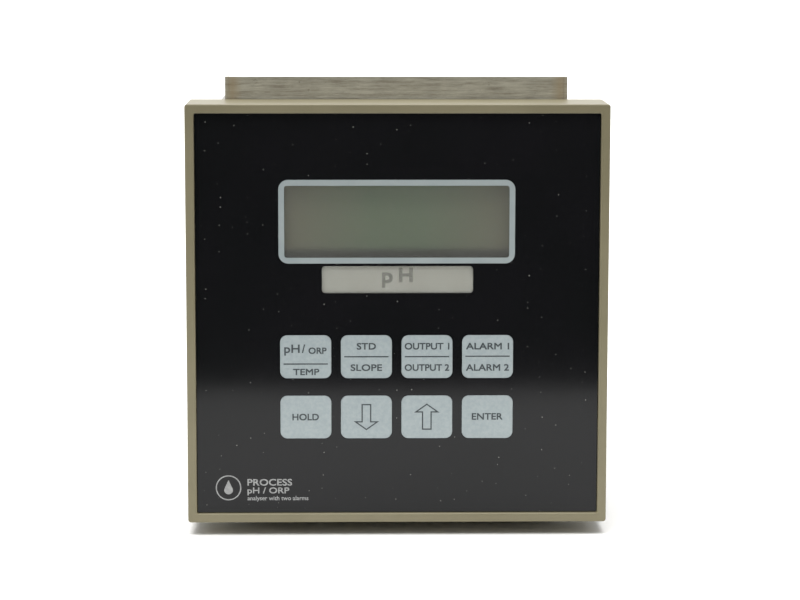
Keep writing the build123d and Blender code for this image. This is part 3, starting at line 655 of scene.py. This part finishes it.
# Amber polyester tape round the winding.
WINDING_TAPE = Finish("amber_winding_tape", "#B98A2C", "#A87A22", 10.0, 0.25, 0.05, coat=0.3)
# Blue shrink sleeve on the capacitor cans.
SHRINK_SLEEVE = Finish("blue_shrink_sleeve", "#1E2F5C", "#1A2A54", 7.0, 0.2, 0.04, coat=0.4)
# Relay cover: blue nylon.
RELAY_NYLON = Finish("blue_relay_nylon", "#2C5A9A", "#285390", 9.0, 0.4, 0.05)
# Fuse glass: clear, with the wire inside not seen.
FUSE_GLASS = Finish("fuse_glass", "#C9CFCC", "#C2C9C6", 6.0, 0.05, 0.02, ior=1.52, alpha=0.4)
# Black anodised extrusion.
BLACK_ANODISE = Finish(
    "black_anodised_aluminium", "#1C1C1E", "#232325", 6.0, 0.4, 0.06, metallic=1.0
)
# Grey ribbon cable, 1.27 mm pitch.
# Its darker stripes, one each pitch, are painted shade of the ribbed form, not a colour of the
# insulation.
RIBBON_GREY = Striped(
    "grey_ribbon_cable", "#9A9A98", "#929290", 8.0, 0.45, 0.05, stripe="#7C7C7A", pitch=1.27,
    ridge=0.3,
)
# Blank aluminium foil plate, brushed along its length.
FOIL_PLATE = Finish(
    "brushed_foil_plate", "#B5B6B5", "#A9AAA9", 8.0, 0.33, 0.06, metallic=1.0, grain=0.3,
    depth=0.004, stretch=(1.0, 40.0, 1.0),
)
# Black flocked card: takes in nearly all light.
FLAG_CARD = Finish("black_flocked_card", "#0C0C0C", "#101010", 9.0, 0.95, 0.02, ior=1.2)
# Pale paper sweep of the studio: matt, nearly white.
STUDIO_PAPER = Finish(
    "studio_paper", "#F4F4F3", "#F2F2F1", 200.0, 0.9, 0.03, mirror=0.0, grain=2.0, depth=0.01
)

CAD_FINISHES: dict[str, Finish] = {
    node: finish
    for finish, nodes in (
        (BEZEL_ABS, "bezel"),
        (NEOPRENE, "panel_gasket"),
        (OVERLAY_FILM, "front_overlay"),
        (CLEAR_PANE, "window_lens label_window"),
        (CARD_STOCK, "label_card"),
        (SPACER_FILM, "dome_spacer"),
        (SPRING_STEEL, "switch_domes clamp_clip_left clamp_clip_right"),
        (CIRCUIT_FILM, "keypad_circuit keypad_tail"),
        (CHROMATE_SHEET, "front_plate rear_panel"),
        (
            ZINC_PLATE,
            "plate_studs stud_nuts display_standoffs display_screws panel_screws "
            "clamp_nuts",
        ),
        (LCD_CELL, "lcd_glass"),
        (TINNED_SHEET, "lcd_frame"),
        (BLACK_NYLON, "lcd_holder terminal_headers ribbon_headers"),
        (CONTACT_RUBBER, "contact_strips"),
        (BOARD_LAMINATE, "display_board main_board power_board"),
        (CHIP_EPOXY, "display_chips logic_chips regulators"),
        (NATURAL_NYLON, "card_guides"),
        (LAMINATIONS, "transformer_core"),
        (WINDING_TAPE, "transformer_coil"),
        (SHRINK_SLEEVE, "filter_capacitors"),
        (RELAY_NYLON, "alarm_relays"),
        (FUSE_GLASS, "fuse"),
        (NICKEL_BRASS, "fuse_clips terminal_clamps terminal_screws ground_stud ground_nut"),
        (BLACK_ANODISE, "heat_sink"),
        (RIBBON_GREY, "front_ribbon"),
        (CASE_ENAMEL, "case_sleeve"),
        (PHENOLIC, "terminal_strip_left terminal_strip_right"),
        (FOIL_PLATE, "rating_plate"),
        (STRAP_STEEL, "clamp_yoke"),
        (ZINC_THREAD, "clamp_screw_left clamp_screw_right"),
    )
    for node in nodes.split()
}


# ---- Printed shapes ---------------------------------------------------------------------------
CORNER_STEPS = 8
RING_STEPS = 48
DROP_STEPS = 24
# Ink is drawn this thick, in millimetres, which is several times the real film of ink.
INK_THICK = 0.02
# Step between the shifted copies that make lettering bold, in millimetres.
INK_STEP = 0.001
FACING_FRONT = Matrix.Rotation(math.pi / 2, 4, "X")
FACING_BACK = Matrix.Rotation(math.pi, 4, "Z") @ FACING_FRONT


@dataclass(frozen=True)
class Place:
    """A point on a front-facing surface.

    Attributes:
        x: Metres to the right.
        y: The surface's own place along Y, in metres.
        z: Metres up.
    """

    x: float
    y: float
    z: float


def front_of(node: str) -> Place:
    """Middle of a CAD node's front face."""
    low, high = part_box(node)
    return Place((low.x + high.x) / 2, low.y, (low.z + high.z) / 2)


def back_of(node: str) -> Place:
    """Middle of a CAD node's back face."""
    low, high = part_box(node)
    return Place((low.x + high.x) / 2, high.y, (low.z + high.z) / 2)


def rounded(width: float, height: float, radius: float, x: float = 0.0, z: float = 0.0) -> Outline:
    """Outline of a rectangle with round corners, in millimetres.

    Args:
        width: Size along X.
        height: Size along Z.
        radius: Corner radius.
        x: Middle of the rectangle along X.
        z: Middle of the rectangle along Z.

    Returns:
        Its points, anticlockwise.
    """
    points = []
    for corner, (sx, sz) in enumerate(((1, 1), (-1, 1), (-1, -1), (1, -1))):
        for step in range(CORNER_STEPS + 1):
            angle = (corner + step / CORNER_STEPS) * math.pi / 2
            px = x + sx * (width / 2 - radius) + radius * math.cos(angle)
            pz = z + sz * (height / 2 - radius) + radius * math.sin(angle)
            points.append((px, pz))
    return points


def inset(outline: Outline, distance: float) -> Outline:
    """Move every side of a closed anticlockwise outline inwards.

    Args:
        outline: The points.
        distance: How far in, in the outline's unit.

    Returns:
        The smaller outline, with the same number of points.
    """
    points = [Vector(p) for p in outline]
    result = []
    for i, point in enumerate(points):
        before = (point - points[i - 1]).normalized()
        after = (points[(i + 1) % len(points)] - point).normalized()
        normal_before = Vector((-before.y, before.x))
        normal_after = Vector((-after.y, after.x))
        middle = (normal_before + normal_after).normalized()
        reach = distance / max(middle.dot(normal_before), 0.2)
        result.append(tuple(point + middle * reach))
    return result


def mesh_piece(curve: bpy.types.Curve, name: str, turn: Matrix) -> Piece:
    """Turn a curve or lettering into a mesh object.

    Args:
        curve: The curve's data, which is used up.
        name: Name of the piece.
        turn: What to do to the mesh, drawn in X and Y, to put it in place.

    Returns:
        The new object, already in the scene.
    """
    source = bpy.data.objects.new(name + "_source", curve)
    bpy.context.scene.collection.objects.link(source)
    bpy.context.view_layer.update()
    seen = source.evaluated_get(bpy.context.evaluated_depsgraph_get())
    mesh = bpy.data.meshes.new_from_object(seen)
    bpy.data.objects.remove(source)
    bpy.data.curves.remove(curve)
    mesh.transform(turn)
    mesh.name = name
    piece = bpy.data.objects.new(name, mesh)
    bpy.context.scene.collection.objects.link(piece)
    return piece


def print_shape(
    name: str, outlines: Iterable[Outline], place: Place, facing: Matrix = FACING_FRONT
) -> Piece:
    """Lay a thin printed shape on a surface.

    Args:
        name: Name of the piece.
        outlines: Closed outlines in millimetres; one inside another is a hole.
        place: Where the outlines' zero is, on the surface.
        facing: Turn from the drawing to the surface.

    Returns:
        The new piece, standing proud by its own thickness.
    """
    curve = bpy.data.curves.new(name, "CURVE")
    curve.dimensions = "2D"
    curve.fill_mode = "BOTH"
    curve.extrude = INK_THICK * MM / 2
    for outline in outlines:
        spline = curve.splines.new("POLY")
        spline.points.add(len(outline) - 1)
        for point, (x, z) in zip(spline.points, outline):
            point.co = (x * MM, z * MM, 0, 1)
        spline.use_cyclic_u = True
    proud = Matrix.Translation((0, 0, INK_THICK * MM / 2))
    there = Matrix.Translation((place.x, place.y, place.z))
    return mesh_piece(curve, name, there @ facing @ proud)


@dataclass(frozen=True)
class Words:
    """One line of generic lettering.

    Attributes:
        text: What it says.
        width: Width of the whole line, in millimetres.
        cap: Height of a capital letter, in millimetres.
        x: Middle of the line from the middle of its surface, in millimetres.
        base: Height of the baseline from the middle of its surface, in millimetres.
        weight: How far each side of a stroke is moved out, in millimetres.
    """

    text: str
    width: float
    cap: float
    x: float
    base: float
    weight: float = 0.075

    def make(self, name: str, place: Place, facing: Matrix = FACING_FRONT) -> Piece:
        """Draw the line at its real size on a surface.

        The thin built-in letters are made bolder by four copies, each a little lower than the
        last, so that no two of their faces share a plane.

        Args:
            name: Name of the piece.
            place: The middle of the surface.
            facing: Turn from the drawing to the surface.

        Returns:
            The lettering as a mesh object.
        """
        piece = mesh_piece(self.curve(name, self.text), name, Matrix.Identity(4))
        xs = [v.co.x for v in piece.data.vertices]
        wide = (self.width - 2 * self.weight) * MM / (max(xs) - min(xs))
        tall = (self.cap - 2 * self.weight) * MM / self.cap_share()
        shrink = Matrix.Diagonal((wide, tall, INK_THICK * MM / 2, 1))
        centred = Matrix.Translation((-(max(xs) + min(xs)) / 2, 0, 1))
        on_line = Matrix.Translation((self.x * MM, (self.base + self.weight) * MM, 0))
        there = Matrix.Translation((place.x, place.y, place.z))
        thin = piece.data
        thin.transform(shrink @ centred)
        bold = bmesh.new()
        for copy, (dx, dy) in enumerate(((-1, -1), (-1, 1), (1, -1), (1, 1))):
            out = self.weight * MM
            thin.transform(Matrix.Translation((dx * out, dy * out, -copy * INK_STEP * MM)))
            bold.from_mesh(thin)
            thin.transform(Matrix.Translation((-dx * out, -dy * out, copy * INK_STEP * MM)))
        bold.to_mesh(thin)
        bold.free()
        thin.transform(there @ facing @ on_line)
        return piece

    def curve(self, name: str, text: str) -> bpy.types.Curve:
        """Lettering in the built-in font, at size 1 and 2 thick.

        Args:
            name: Name of the curve.
            text: What it says.

        Returns:
            The text curve.
        """
        curve = bpy.data.curves.new(name, "FONT")
        curve.body = text
        curve.extrude = 1.0
        curve.resolution_u = 4
        return curve

    def cap_share(self) -> float:
        """Measure the built-in font's capital letters.

        Returns:
            Their height at size 1.
        """
        piece = mesh_piece(self.curve("probe", "H"), "probe", Matrix.Identity(4))
        tall = max(v.co.y for v in piece.data.vertices)
        bpy.data.meshes.remove(piece.data)
        return tall


def joined(pieces: list[Piece], name: str) -> Piece:
    """Join mesh objects into one piece.

    Args:
        pieces: The objects, of which the first stays.
        name: Name of the joined piece.

    Returns:
        The joined piece.
    """
    target = pieces[0]
    if len(pieces) > 1:
        with bpy.context.temp_override(
            active_object=target, object=target, selected_editable_objects=pieces
        ):
            bpy.ops.object.join()
    target.name = name
    target.data.name = name
    return target


def dress(piece: Piece, finish: Finish) -> None:
    """Put a finish on every slot of a piece.

    Args:
        piece: The mesh object.
        finish: What it is made of.
    """
    if not piece.material_slots:
        piece.data.materials.append(finish.material())
    for slot in piece.material_slots:
        slot.material = finish.material()


# ---- Sub-assemblies ---------------------------------------------------------------------------
class Point(Enum):
    """Which way an arrow key points."""

    UP = 1
    DOWN = -1


@dataclass
class CadShell:
    """The CAD pieces whose shape is already right, which only need their finish.

    Attributes:
        finishes: The finish of each node, by name.
        key_finish: The finish of the eight keys.
    """

    finishes: dict[str, Finish] = field(default_factory=lambda: dict(CAD_FINISHES))
    key_finish: Finish = KEY_FILM

    def build(self) -> None:
        """Dress every CAD node."""
        for name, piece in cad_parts.items():
            finish = self.finishes.get(name, self.key_finish)
            dress(piece, finish)
            LOG.info("dressed %s in %s", name, finish.name)


@dataclass
class DisplayPrint:
    """The pale frame round the display, printed on the film, and the letters on the units card.

    Attributes:
        outer_width: Outside of the frame along X, in millimetres.
        outer_height: Outside of the frame along Z.
        outer_radius: Its outer corners.
        inner_radius: Its inner corners.
        letters: The letters on the card.
    """

    outer_width: float = 80.5
    outer_height: float = 28.6
    outer_radius: float = 3.3
    inner_radius: float = 0.9
    letters: tuple[Words, ...] = (
        Words("p", 3.7, 5.3, -3.45, -1.25, 0.22),
        Words("H", 4.75, 5.0, 2.85, -0.98, 0.25),
    )

    def build(self) -> None:
        """Make the frame and the letters."""
        low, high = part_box("window_lens")
        face = front_of("window_lens")
        hole = rounded((high.x - low.x) / MM, (high.z - low.z) / MM, self.inner_radius)
        ring = rounded(self.outer_width, self.outer_height, self.outer_radius)
        frame_print = print_shape("display_frame_print", [ring, hole], face)
        dress(frame_print, FRAME_INK)
        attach(frame_print, "instrument")
        card = front_of("label_card")
        pieces = [w.make(f"card_letter_{i}", card) for i, w in enumerate(self.letters)]
        units = joined(pieces, "card_letters")
        dress(units, CARD_INK)
        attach(units, "instrument")
        LOG.info("printed the display frame and the units card")


@dataclass
class KeyLegend:
    """What is printed on one key.

    Attributes:
        node: The key's CAD node.
        words: Lines of lettering.
        rule: Height of the thin line between two words, or None where there isn't one.
        arrow: Which way the key's arrow points, or None where there isn't one.
        rule_length: Length of the line, in millimetres.
        rule_thick: Thickness of the line.
        arrow_tip: Tip of the arrow from the key's middle.
        arrow_neck: Where its head meets its shaft.
        arrow_foot: Foot of its shaft.
        arrow_half_head: Half the width of its head.
        arrow_half_shaft: Half the width of its shaft.
        stroke: Thickness of its outline.
    """

    node: str
    words: tuple[Words, ...] = ()
    rule: Optional[float] = None
    arrow: Optional[Point] = None
    rule_length: float = 15.2
    rule_thick: float = 0.42
    arrow_tip: float = 4.65
    arrow_neck: float = 1.5
    arrow_foot: float = -4.5
    arrow_half_head: float = 4.4
    arrow_half_shaft: float = 1.68
    stroke: float = 0.42

    def arrow_outlines(self) -> list[Outline]:
        """Draw the arrow, pointing up or down.

        Returns:
            Its outer and inner outline, in millimetres.
        """
        assert self.arrow is not None
        turn = self.arrow.value
        right = [
            (self.arrow_half_shaft, self.arrow_foot),
            (self.arrow_half_shaft, self.arrow_neck),
            (self.arrow_half_head, self.arrow_neck),
            (0.0, self.arrow_tip),
        ]
        left = [(-x, z) for x, z in reversed(right[:-1])]
        outline = [(turn * x, turn * z) for x, z in right + left]
        return [outline, inset(outline, self.stroke)]

    def build(self) -> None:
        """Print the key."""
        face = front_of(self.node)
        name = "legend_" + self.node
        pieces = [w.make(f"{name}_{i}", face) for i, w in enumerate(self.words)]
        if self.rule is not None:
            line = rounded(self.rule_length, self.rule_thick, 0.05, 0.0, self.rule)
            pieces.append(print_shape(name + "_rule", [line], face))
        if self.arrow is not None:
            pieces.append(print_shape(name + "_arrow", self.arrow_outlines(), face))
        legend = joined(pieces, name)
        dress(legend, LEGEND_INK)
        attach(legend, self.node + "_pad")
        LOG.info("printed %s", self.node)


@dataclass
class Keypad:
    """All eight keys.

    Attributes:
        cap: Height of a capital letter, in millimetres.
        upper: Baseline of an upper word from the key's middle.
        lower: Baseline of a lower word.
    """

    cap: float = 2.3
    upper: float = 2.45
    lower: float = -4.95

    def legends(self) -> list[KeyLegend]:
        """Set out the eight legends, in plain functional words.

        Returns:
            One legend for each key.
        """
        cap = self.cap
        first = (
            Words("pH", 5.3, 2.9, -4.7, 1.35),
            Words("/", 1.1, 2.9, -0.75, 1.35),
            Words("ORP", 6.2, 2.2, 4.05, 1.0),
            Words("TEMP", 9.0, 2.2, 0.15, -6.35),
        )
        outputs = tuple(
            Words(f"OUTPUT {n}", 15.3, cap, 0.0, z) for n, z in ((1, self.upper), (2, self.lower))
        )
        alarms = tuple(
            Words(f"ALARM {n}", 14.8, cap, 0.0, z) for n, z in ((1, self.upper), (2, self.lower))
        )
        slope = (
            Words("STD", 6.6, cap, 0.0, self.upper),
            Words("SLOPE", 10.8, cap, 0.0, self.lower),
        )
        return [
            KeyLegend("key_measure", first, rule=-2.5),
            KeyLegend("key_standardise", slope, rule=0.0),
            KeyLegend("key_outputs", outputs, rule=0.0),
            KeyLegend("key_alarms", alarms, rule=0.1),
            KeyLegend("key_hold", (Words("HOLD", 9.1, cap, -0.1, -1.15),)),
            KeyLegend("key_down", arrow=Point.DOWN),
            KeyLegend("key_up", arrow=Point.UP),
            KeyLegend("key_enter", (Words("ENTER", 10.6, cap, 0.0, -1.05),)),
        ]

    def build(self) -> None:
        """Print every key."""
        for legend in self.legends():
            legend.build()


@dataclass
class FrontTitle:
    """A plain drop in a ring and a generic title, in the lower left corner of the film.

    Attributes:
        ring_radius: Outside of the ring.
        stroke: Thickness of the ring.
        drop_radius: Round part of the drop.
        drop_tip: Tip of the drop above the middle of its round part.
        drop_low: Middle of the drop's round part from the middle of the ring.
        across: Middle of the ring from the film's left edge.
        up: Middle of the ring from the film's lower edge.
        lines: The words beside the ring.
    """

    ring_radius: float = 4.4
    stroke: float = 0.4
    drop_radius: float = 1.5
    drop_tip: float = 3.5
    drop_low: float = -0.8
    across: float = 10.6
    up: float = 8.6
    lines: tuple[Words, ...] = (
        Words("PROCESS", 15.4, 2.3, 14.2, 0.75, 0.06),
        Words("pH / ORP", 14.4, 2.1, 13.7, -2.0, 0.05),
        Words("analyser with two alarms", 21.0, 1.5, 17.0, -4.4, 0.03),
    )

    def circle(self, radius: float, z: float = 0.0) -> Outline:
        """Points round a circle."""
        turns = [2 * math.pi * step / RING_STEPS for step in range(RING_STEPS)]
        return [(radius * math.cos(turn), z + radius * math.sin(turn)) for turn in turns]

    def drop(self) -> Outline:
        """Draw a round foot that runs up to a point along its two tangents.

        Returns:
            The drop's outline, in millimetres.
        """
        lean = math.acos(self.drop_radius / self.drop_tip)
        start = math.pi / 2 + lean
        sweep = 2 * math.pi - 2 * lean
        foot = []
        for step in range(DROP_STEPS + 1):
            turn = start + sweep * step / DROP_STEPS
            across = self.drop_radius * math.cos(turn)
            foot.append((across, self.drop_low + self.drop_radius * math.sin(turn)))
        return foot + [(0.0, self.drop_low + self.drop_tip)]

    def build(self) -> None:
        """Print the title."""
        low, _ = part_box("front_overlay")
        place = Place(low.x + self.across * MM, low.y, low.z + self.up * MM)
        ring = [self.circle(self.ring_radius), self.circle(self.ring_radius - self.stroke)]
        pieces = [print_shape("title_emblem", [*ring, self.drop()], place)]
        pieces += [line.make(f"title_{i}", place) for i, line in enumerate(self.lines)]
        title = joined(pieces, "front_title")
        dress(title, TITLE_INK)
        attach(title, "instrument")
        LOG.info("printed the title")


@dataclass
class RearMarks:
    """Way numbers beside the rear terminals.

    Attributes:
        ways: Ways on one strip.
        pitch: Distance from one way to the next, in millimetres.
        cap: Height of a number.
        side_gap: From the middle of the strip to the middle of its numbers.
        digit: Width of one digit.
        weight: How far each side of a stroke is moved out.
    """

    ways: int = 10
    pitch: float = 9.5
    cap: float = 2.2
    side_gap: float = 12.4
    digit: float = 1.5
    weight: float = 0.04

    def build(self) -> None:
        """Number the ways from the top, left strip first as seen from behind."""
        strips = ("terminal_strip_right", "terminal_strip_left")
        panel = back_of("rear_panel")
        pieces = []
        for strip, node in enumerate(strips):
            low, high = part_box(node)
            middle = (low.x + high.x) / 2
            outward = 1 if middle > panel.x else -1
            for way in range(self.ways):
                z = ((self.ways - 1) / 2 - way) * self.pitch
                place = Place(
                    middle - outward * self.side_gap * MM, panel.y, (low.z + high.z) / 2 + z * MM
                )
                number = strip * self.ways + way + 1
                width = self.digit * len(str(number))
                words = Words(str(number), width, self.cap, 0.0, -self.cap / 2, self.weight)
                pieces.append(words.make(f"way_{number}", place, FACING_BACK))
        numbers = joined(pieces, "way_numbers")
        dress(numbers, LEGEND_INK)
        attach(numbers, "instrument")
        LOG.info("numbered %d terminal ways", 2 * self.ways)


@dataclass
class Studio:
    """Pale paper floor, soft light and the camera.

    Attributes:
        floor_size: Width of the paper, in metres.
        key_strength: Strength of the overhead light.
        key_tilt: How far the overhead light leans to the front, in degrees.
        key_lean: How far it leans to the side, in degrees.
        key_spread: How wide the light looks from below, in degrees.
        front_fill: Strength of the room in front.
        back_fill: Strength of the white sweep behind.
        card_near: Near edge of the black card from the middle of the instrument, in metres.
        card_far: Its far edge.
        card_half: Half its width.
        card_lift: How far it lies above the paper.
        lens: Focal length in millimetres on a 36 mm sensor.
        eye: The camera from the middle of the bezel's front, in millimetres.
        yaw: Turn to the right, in degrees.
        pitch: Tilt down, in degrees.
        roll: Turn about the line of sight, in degrees.
    """

    floor_size: float = 30.0
    key_strength: float = 3.65
    key_tilt: float = 14.0
    key_lean: float = -4.0
    key_spread: float = 50.0
    front_fill: float = 0.3
    back_fill: float = 1.5
    card_near: float = 0.365
    card_far: float = 6.0
    card_half: float = 3.0
    card_lift: float = 0.002
    lens: float = 119.8
    eye: tuple[float, float, float] = (-16.4, -898.1, 132.2)
    yaw: float = 1.099
    pitch: float = 8.038
    roll: float = 0.077

    def floor(self) -> None:
        """Lay the paper under the instrument."""
        half = self.floor_size / 2
        corners = [(-half, -half, 0), (half, -half, 0), (half, half, 0), (-half, half, 0)]
        mesh = bpy.data.meshes.new("paper_floor")
        mesh.from_pydata(corners, [], [(0, 1, 2, 3)])
        paper = bpy.data.objects.new("paper_floor", mesh)
        paper.location.z = CAD_BOX[0][2]
        bpy.context.scene.collection.objects.link(paper)
        dress(paper, STUDIO_PAPER)

    def flag(self) -> None:
        """Lay a black card in front, where the paper ends, so that a black face stays black."""
        mesh = bpy.data.meshes.new("black_flag")
        height = CAD_BOX[0][2] + self.card_lift
        half = self.card_half
        sides = ((-half, -self.card_far), (half, -self.card_far))
        sides += ((half, -self.card_near), (-half, -self.card_near))
        corners = [(x, y, height) for x, y in sides]
        mesh.from_pydata(corners, [], [(0, 1, 2, 3)])
        card = bpy.data.objects.new("black_flag", mesh)
        bpy.context.scene.collection.objects.link(card)
        dress(card, FLAG_CARD)
        card.visible_camera = False
        card.visible_shadow = False
        card.visible_transmission = False

    def lights(self) -> None:
        """Soft key from above and in front, with the room filling in."""
        sun = bpy.data.lights.new("overhead_soft_key", "SUN")
        sun.energy = self.key_strength
        sun.angle = math.radians(self.key_spread)
        key = bpy.data.objects.new("overhead_soft_key", sun)
        key.rotation_euler = (math.radians(self.key_tilt), math.radians(self.key_lean), 0)
        bpy.context.scene.collection.objects.link(key)
        world = bpy.data.worlds.new("white_room")
        world.use_nodes = True
        tree = world.node_tree
        tree.nodes.clear()
        way = add_node(tree, "ShaderNodeTexCoord").outputs["Generated"]
        back = add_node(tree, "ShaderNodeSeparateXYZ", None, {0: way}).outputs["Y"]
        span = {
            "From Min": -0.3,
            "From Max": 0.6,
            "To Min": self.front_fill,
            "To Max": self.back_fill,
        }
        strength = add_node(tree, "ShaderNodeMapRange", span, {"Value": back})
        white = {"Color": (1, 1, 1, 1)}
        fill = add_node(tree, "ShaderNodeBackground", white, {"Strength": strength.outputs[0]})
        seen = add_node(tree, "ShaderNodeBackground", {"Color": (1, 1, 1, 1), "Strength": 1.0})
        path = add_node(tree, "ShaderNodeLightPath")
        both = add_node(
            tree,
            "ShaderNodeMixShader",
            None,
            {0: path.outputs["Is Camera Ray"], 1: fill.outputs[0], 2: seen.outputs[0]},
        )
        add_node(tree, "ShaderNodeOutputWorld", None, {"Surface": both.outputs[0]})
        bpy.context.scene.world = world

    def camera(self) -> None:
        """Stand the camera in front, a little high, looking slightly right and down."""
        low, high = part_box("bezel")
        centre = Vector(((low.x + high.x) / 2, low.y, (low.z + high.z) / 2))
        data = bpy.data.cameras.new("front_camera")
        data.lens = self.lens
        data.sensor_width = 36.0
        eye = bpy.data.objects.new("front_camera", data)
        level = Matrix.Rotation(math.pi / 2, 4, "X")
        turn = Matrix.Rotation(math.radians(-self.yaw), 4, "Z")
        tilt = Matrix.Rotation(math.radians(-self.pitch), 4, "X")
        roll = Matrix.Rotation(math.radians(self.roll), 4, "Z")
        place = Matrix.Translation(centre + Vector(self.eye) * MM)
        eye.matrix_world = place @ turn @ tilt @ level @ roll
        bpy.context.scene.collection.objects.link(eye)
        bpy.context.scene.camera = eye

    def build(self) -> None:
        """Set up the whole studio."""
        self.floor()
        self.flag()
        self.lights()
        self.camera()
        bpy.context.scene.view_settings.view_transform = "Standard"
        LOG.info("studio ready")


def main() -> None:
    """Build the looks in order."""
    logging.basicConfig(level=logging.INFO, format="%(name)s: %(message)s")
    Studio().build()
    CadShell().build()
    DisplayPrint().build()
    Keypad().build()
    FrontTitle().build()
    RearMarks().build()


if __name__ == "__main__":
    main()
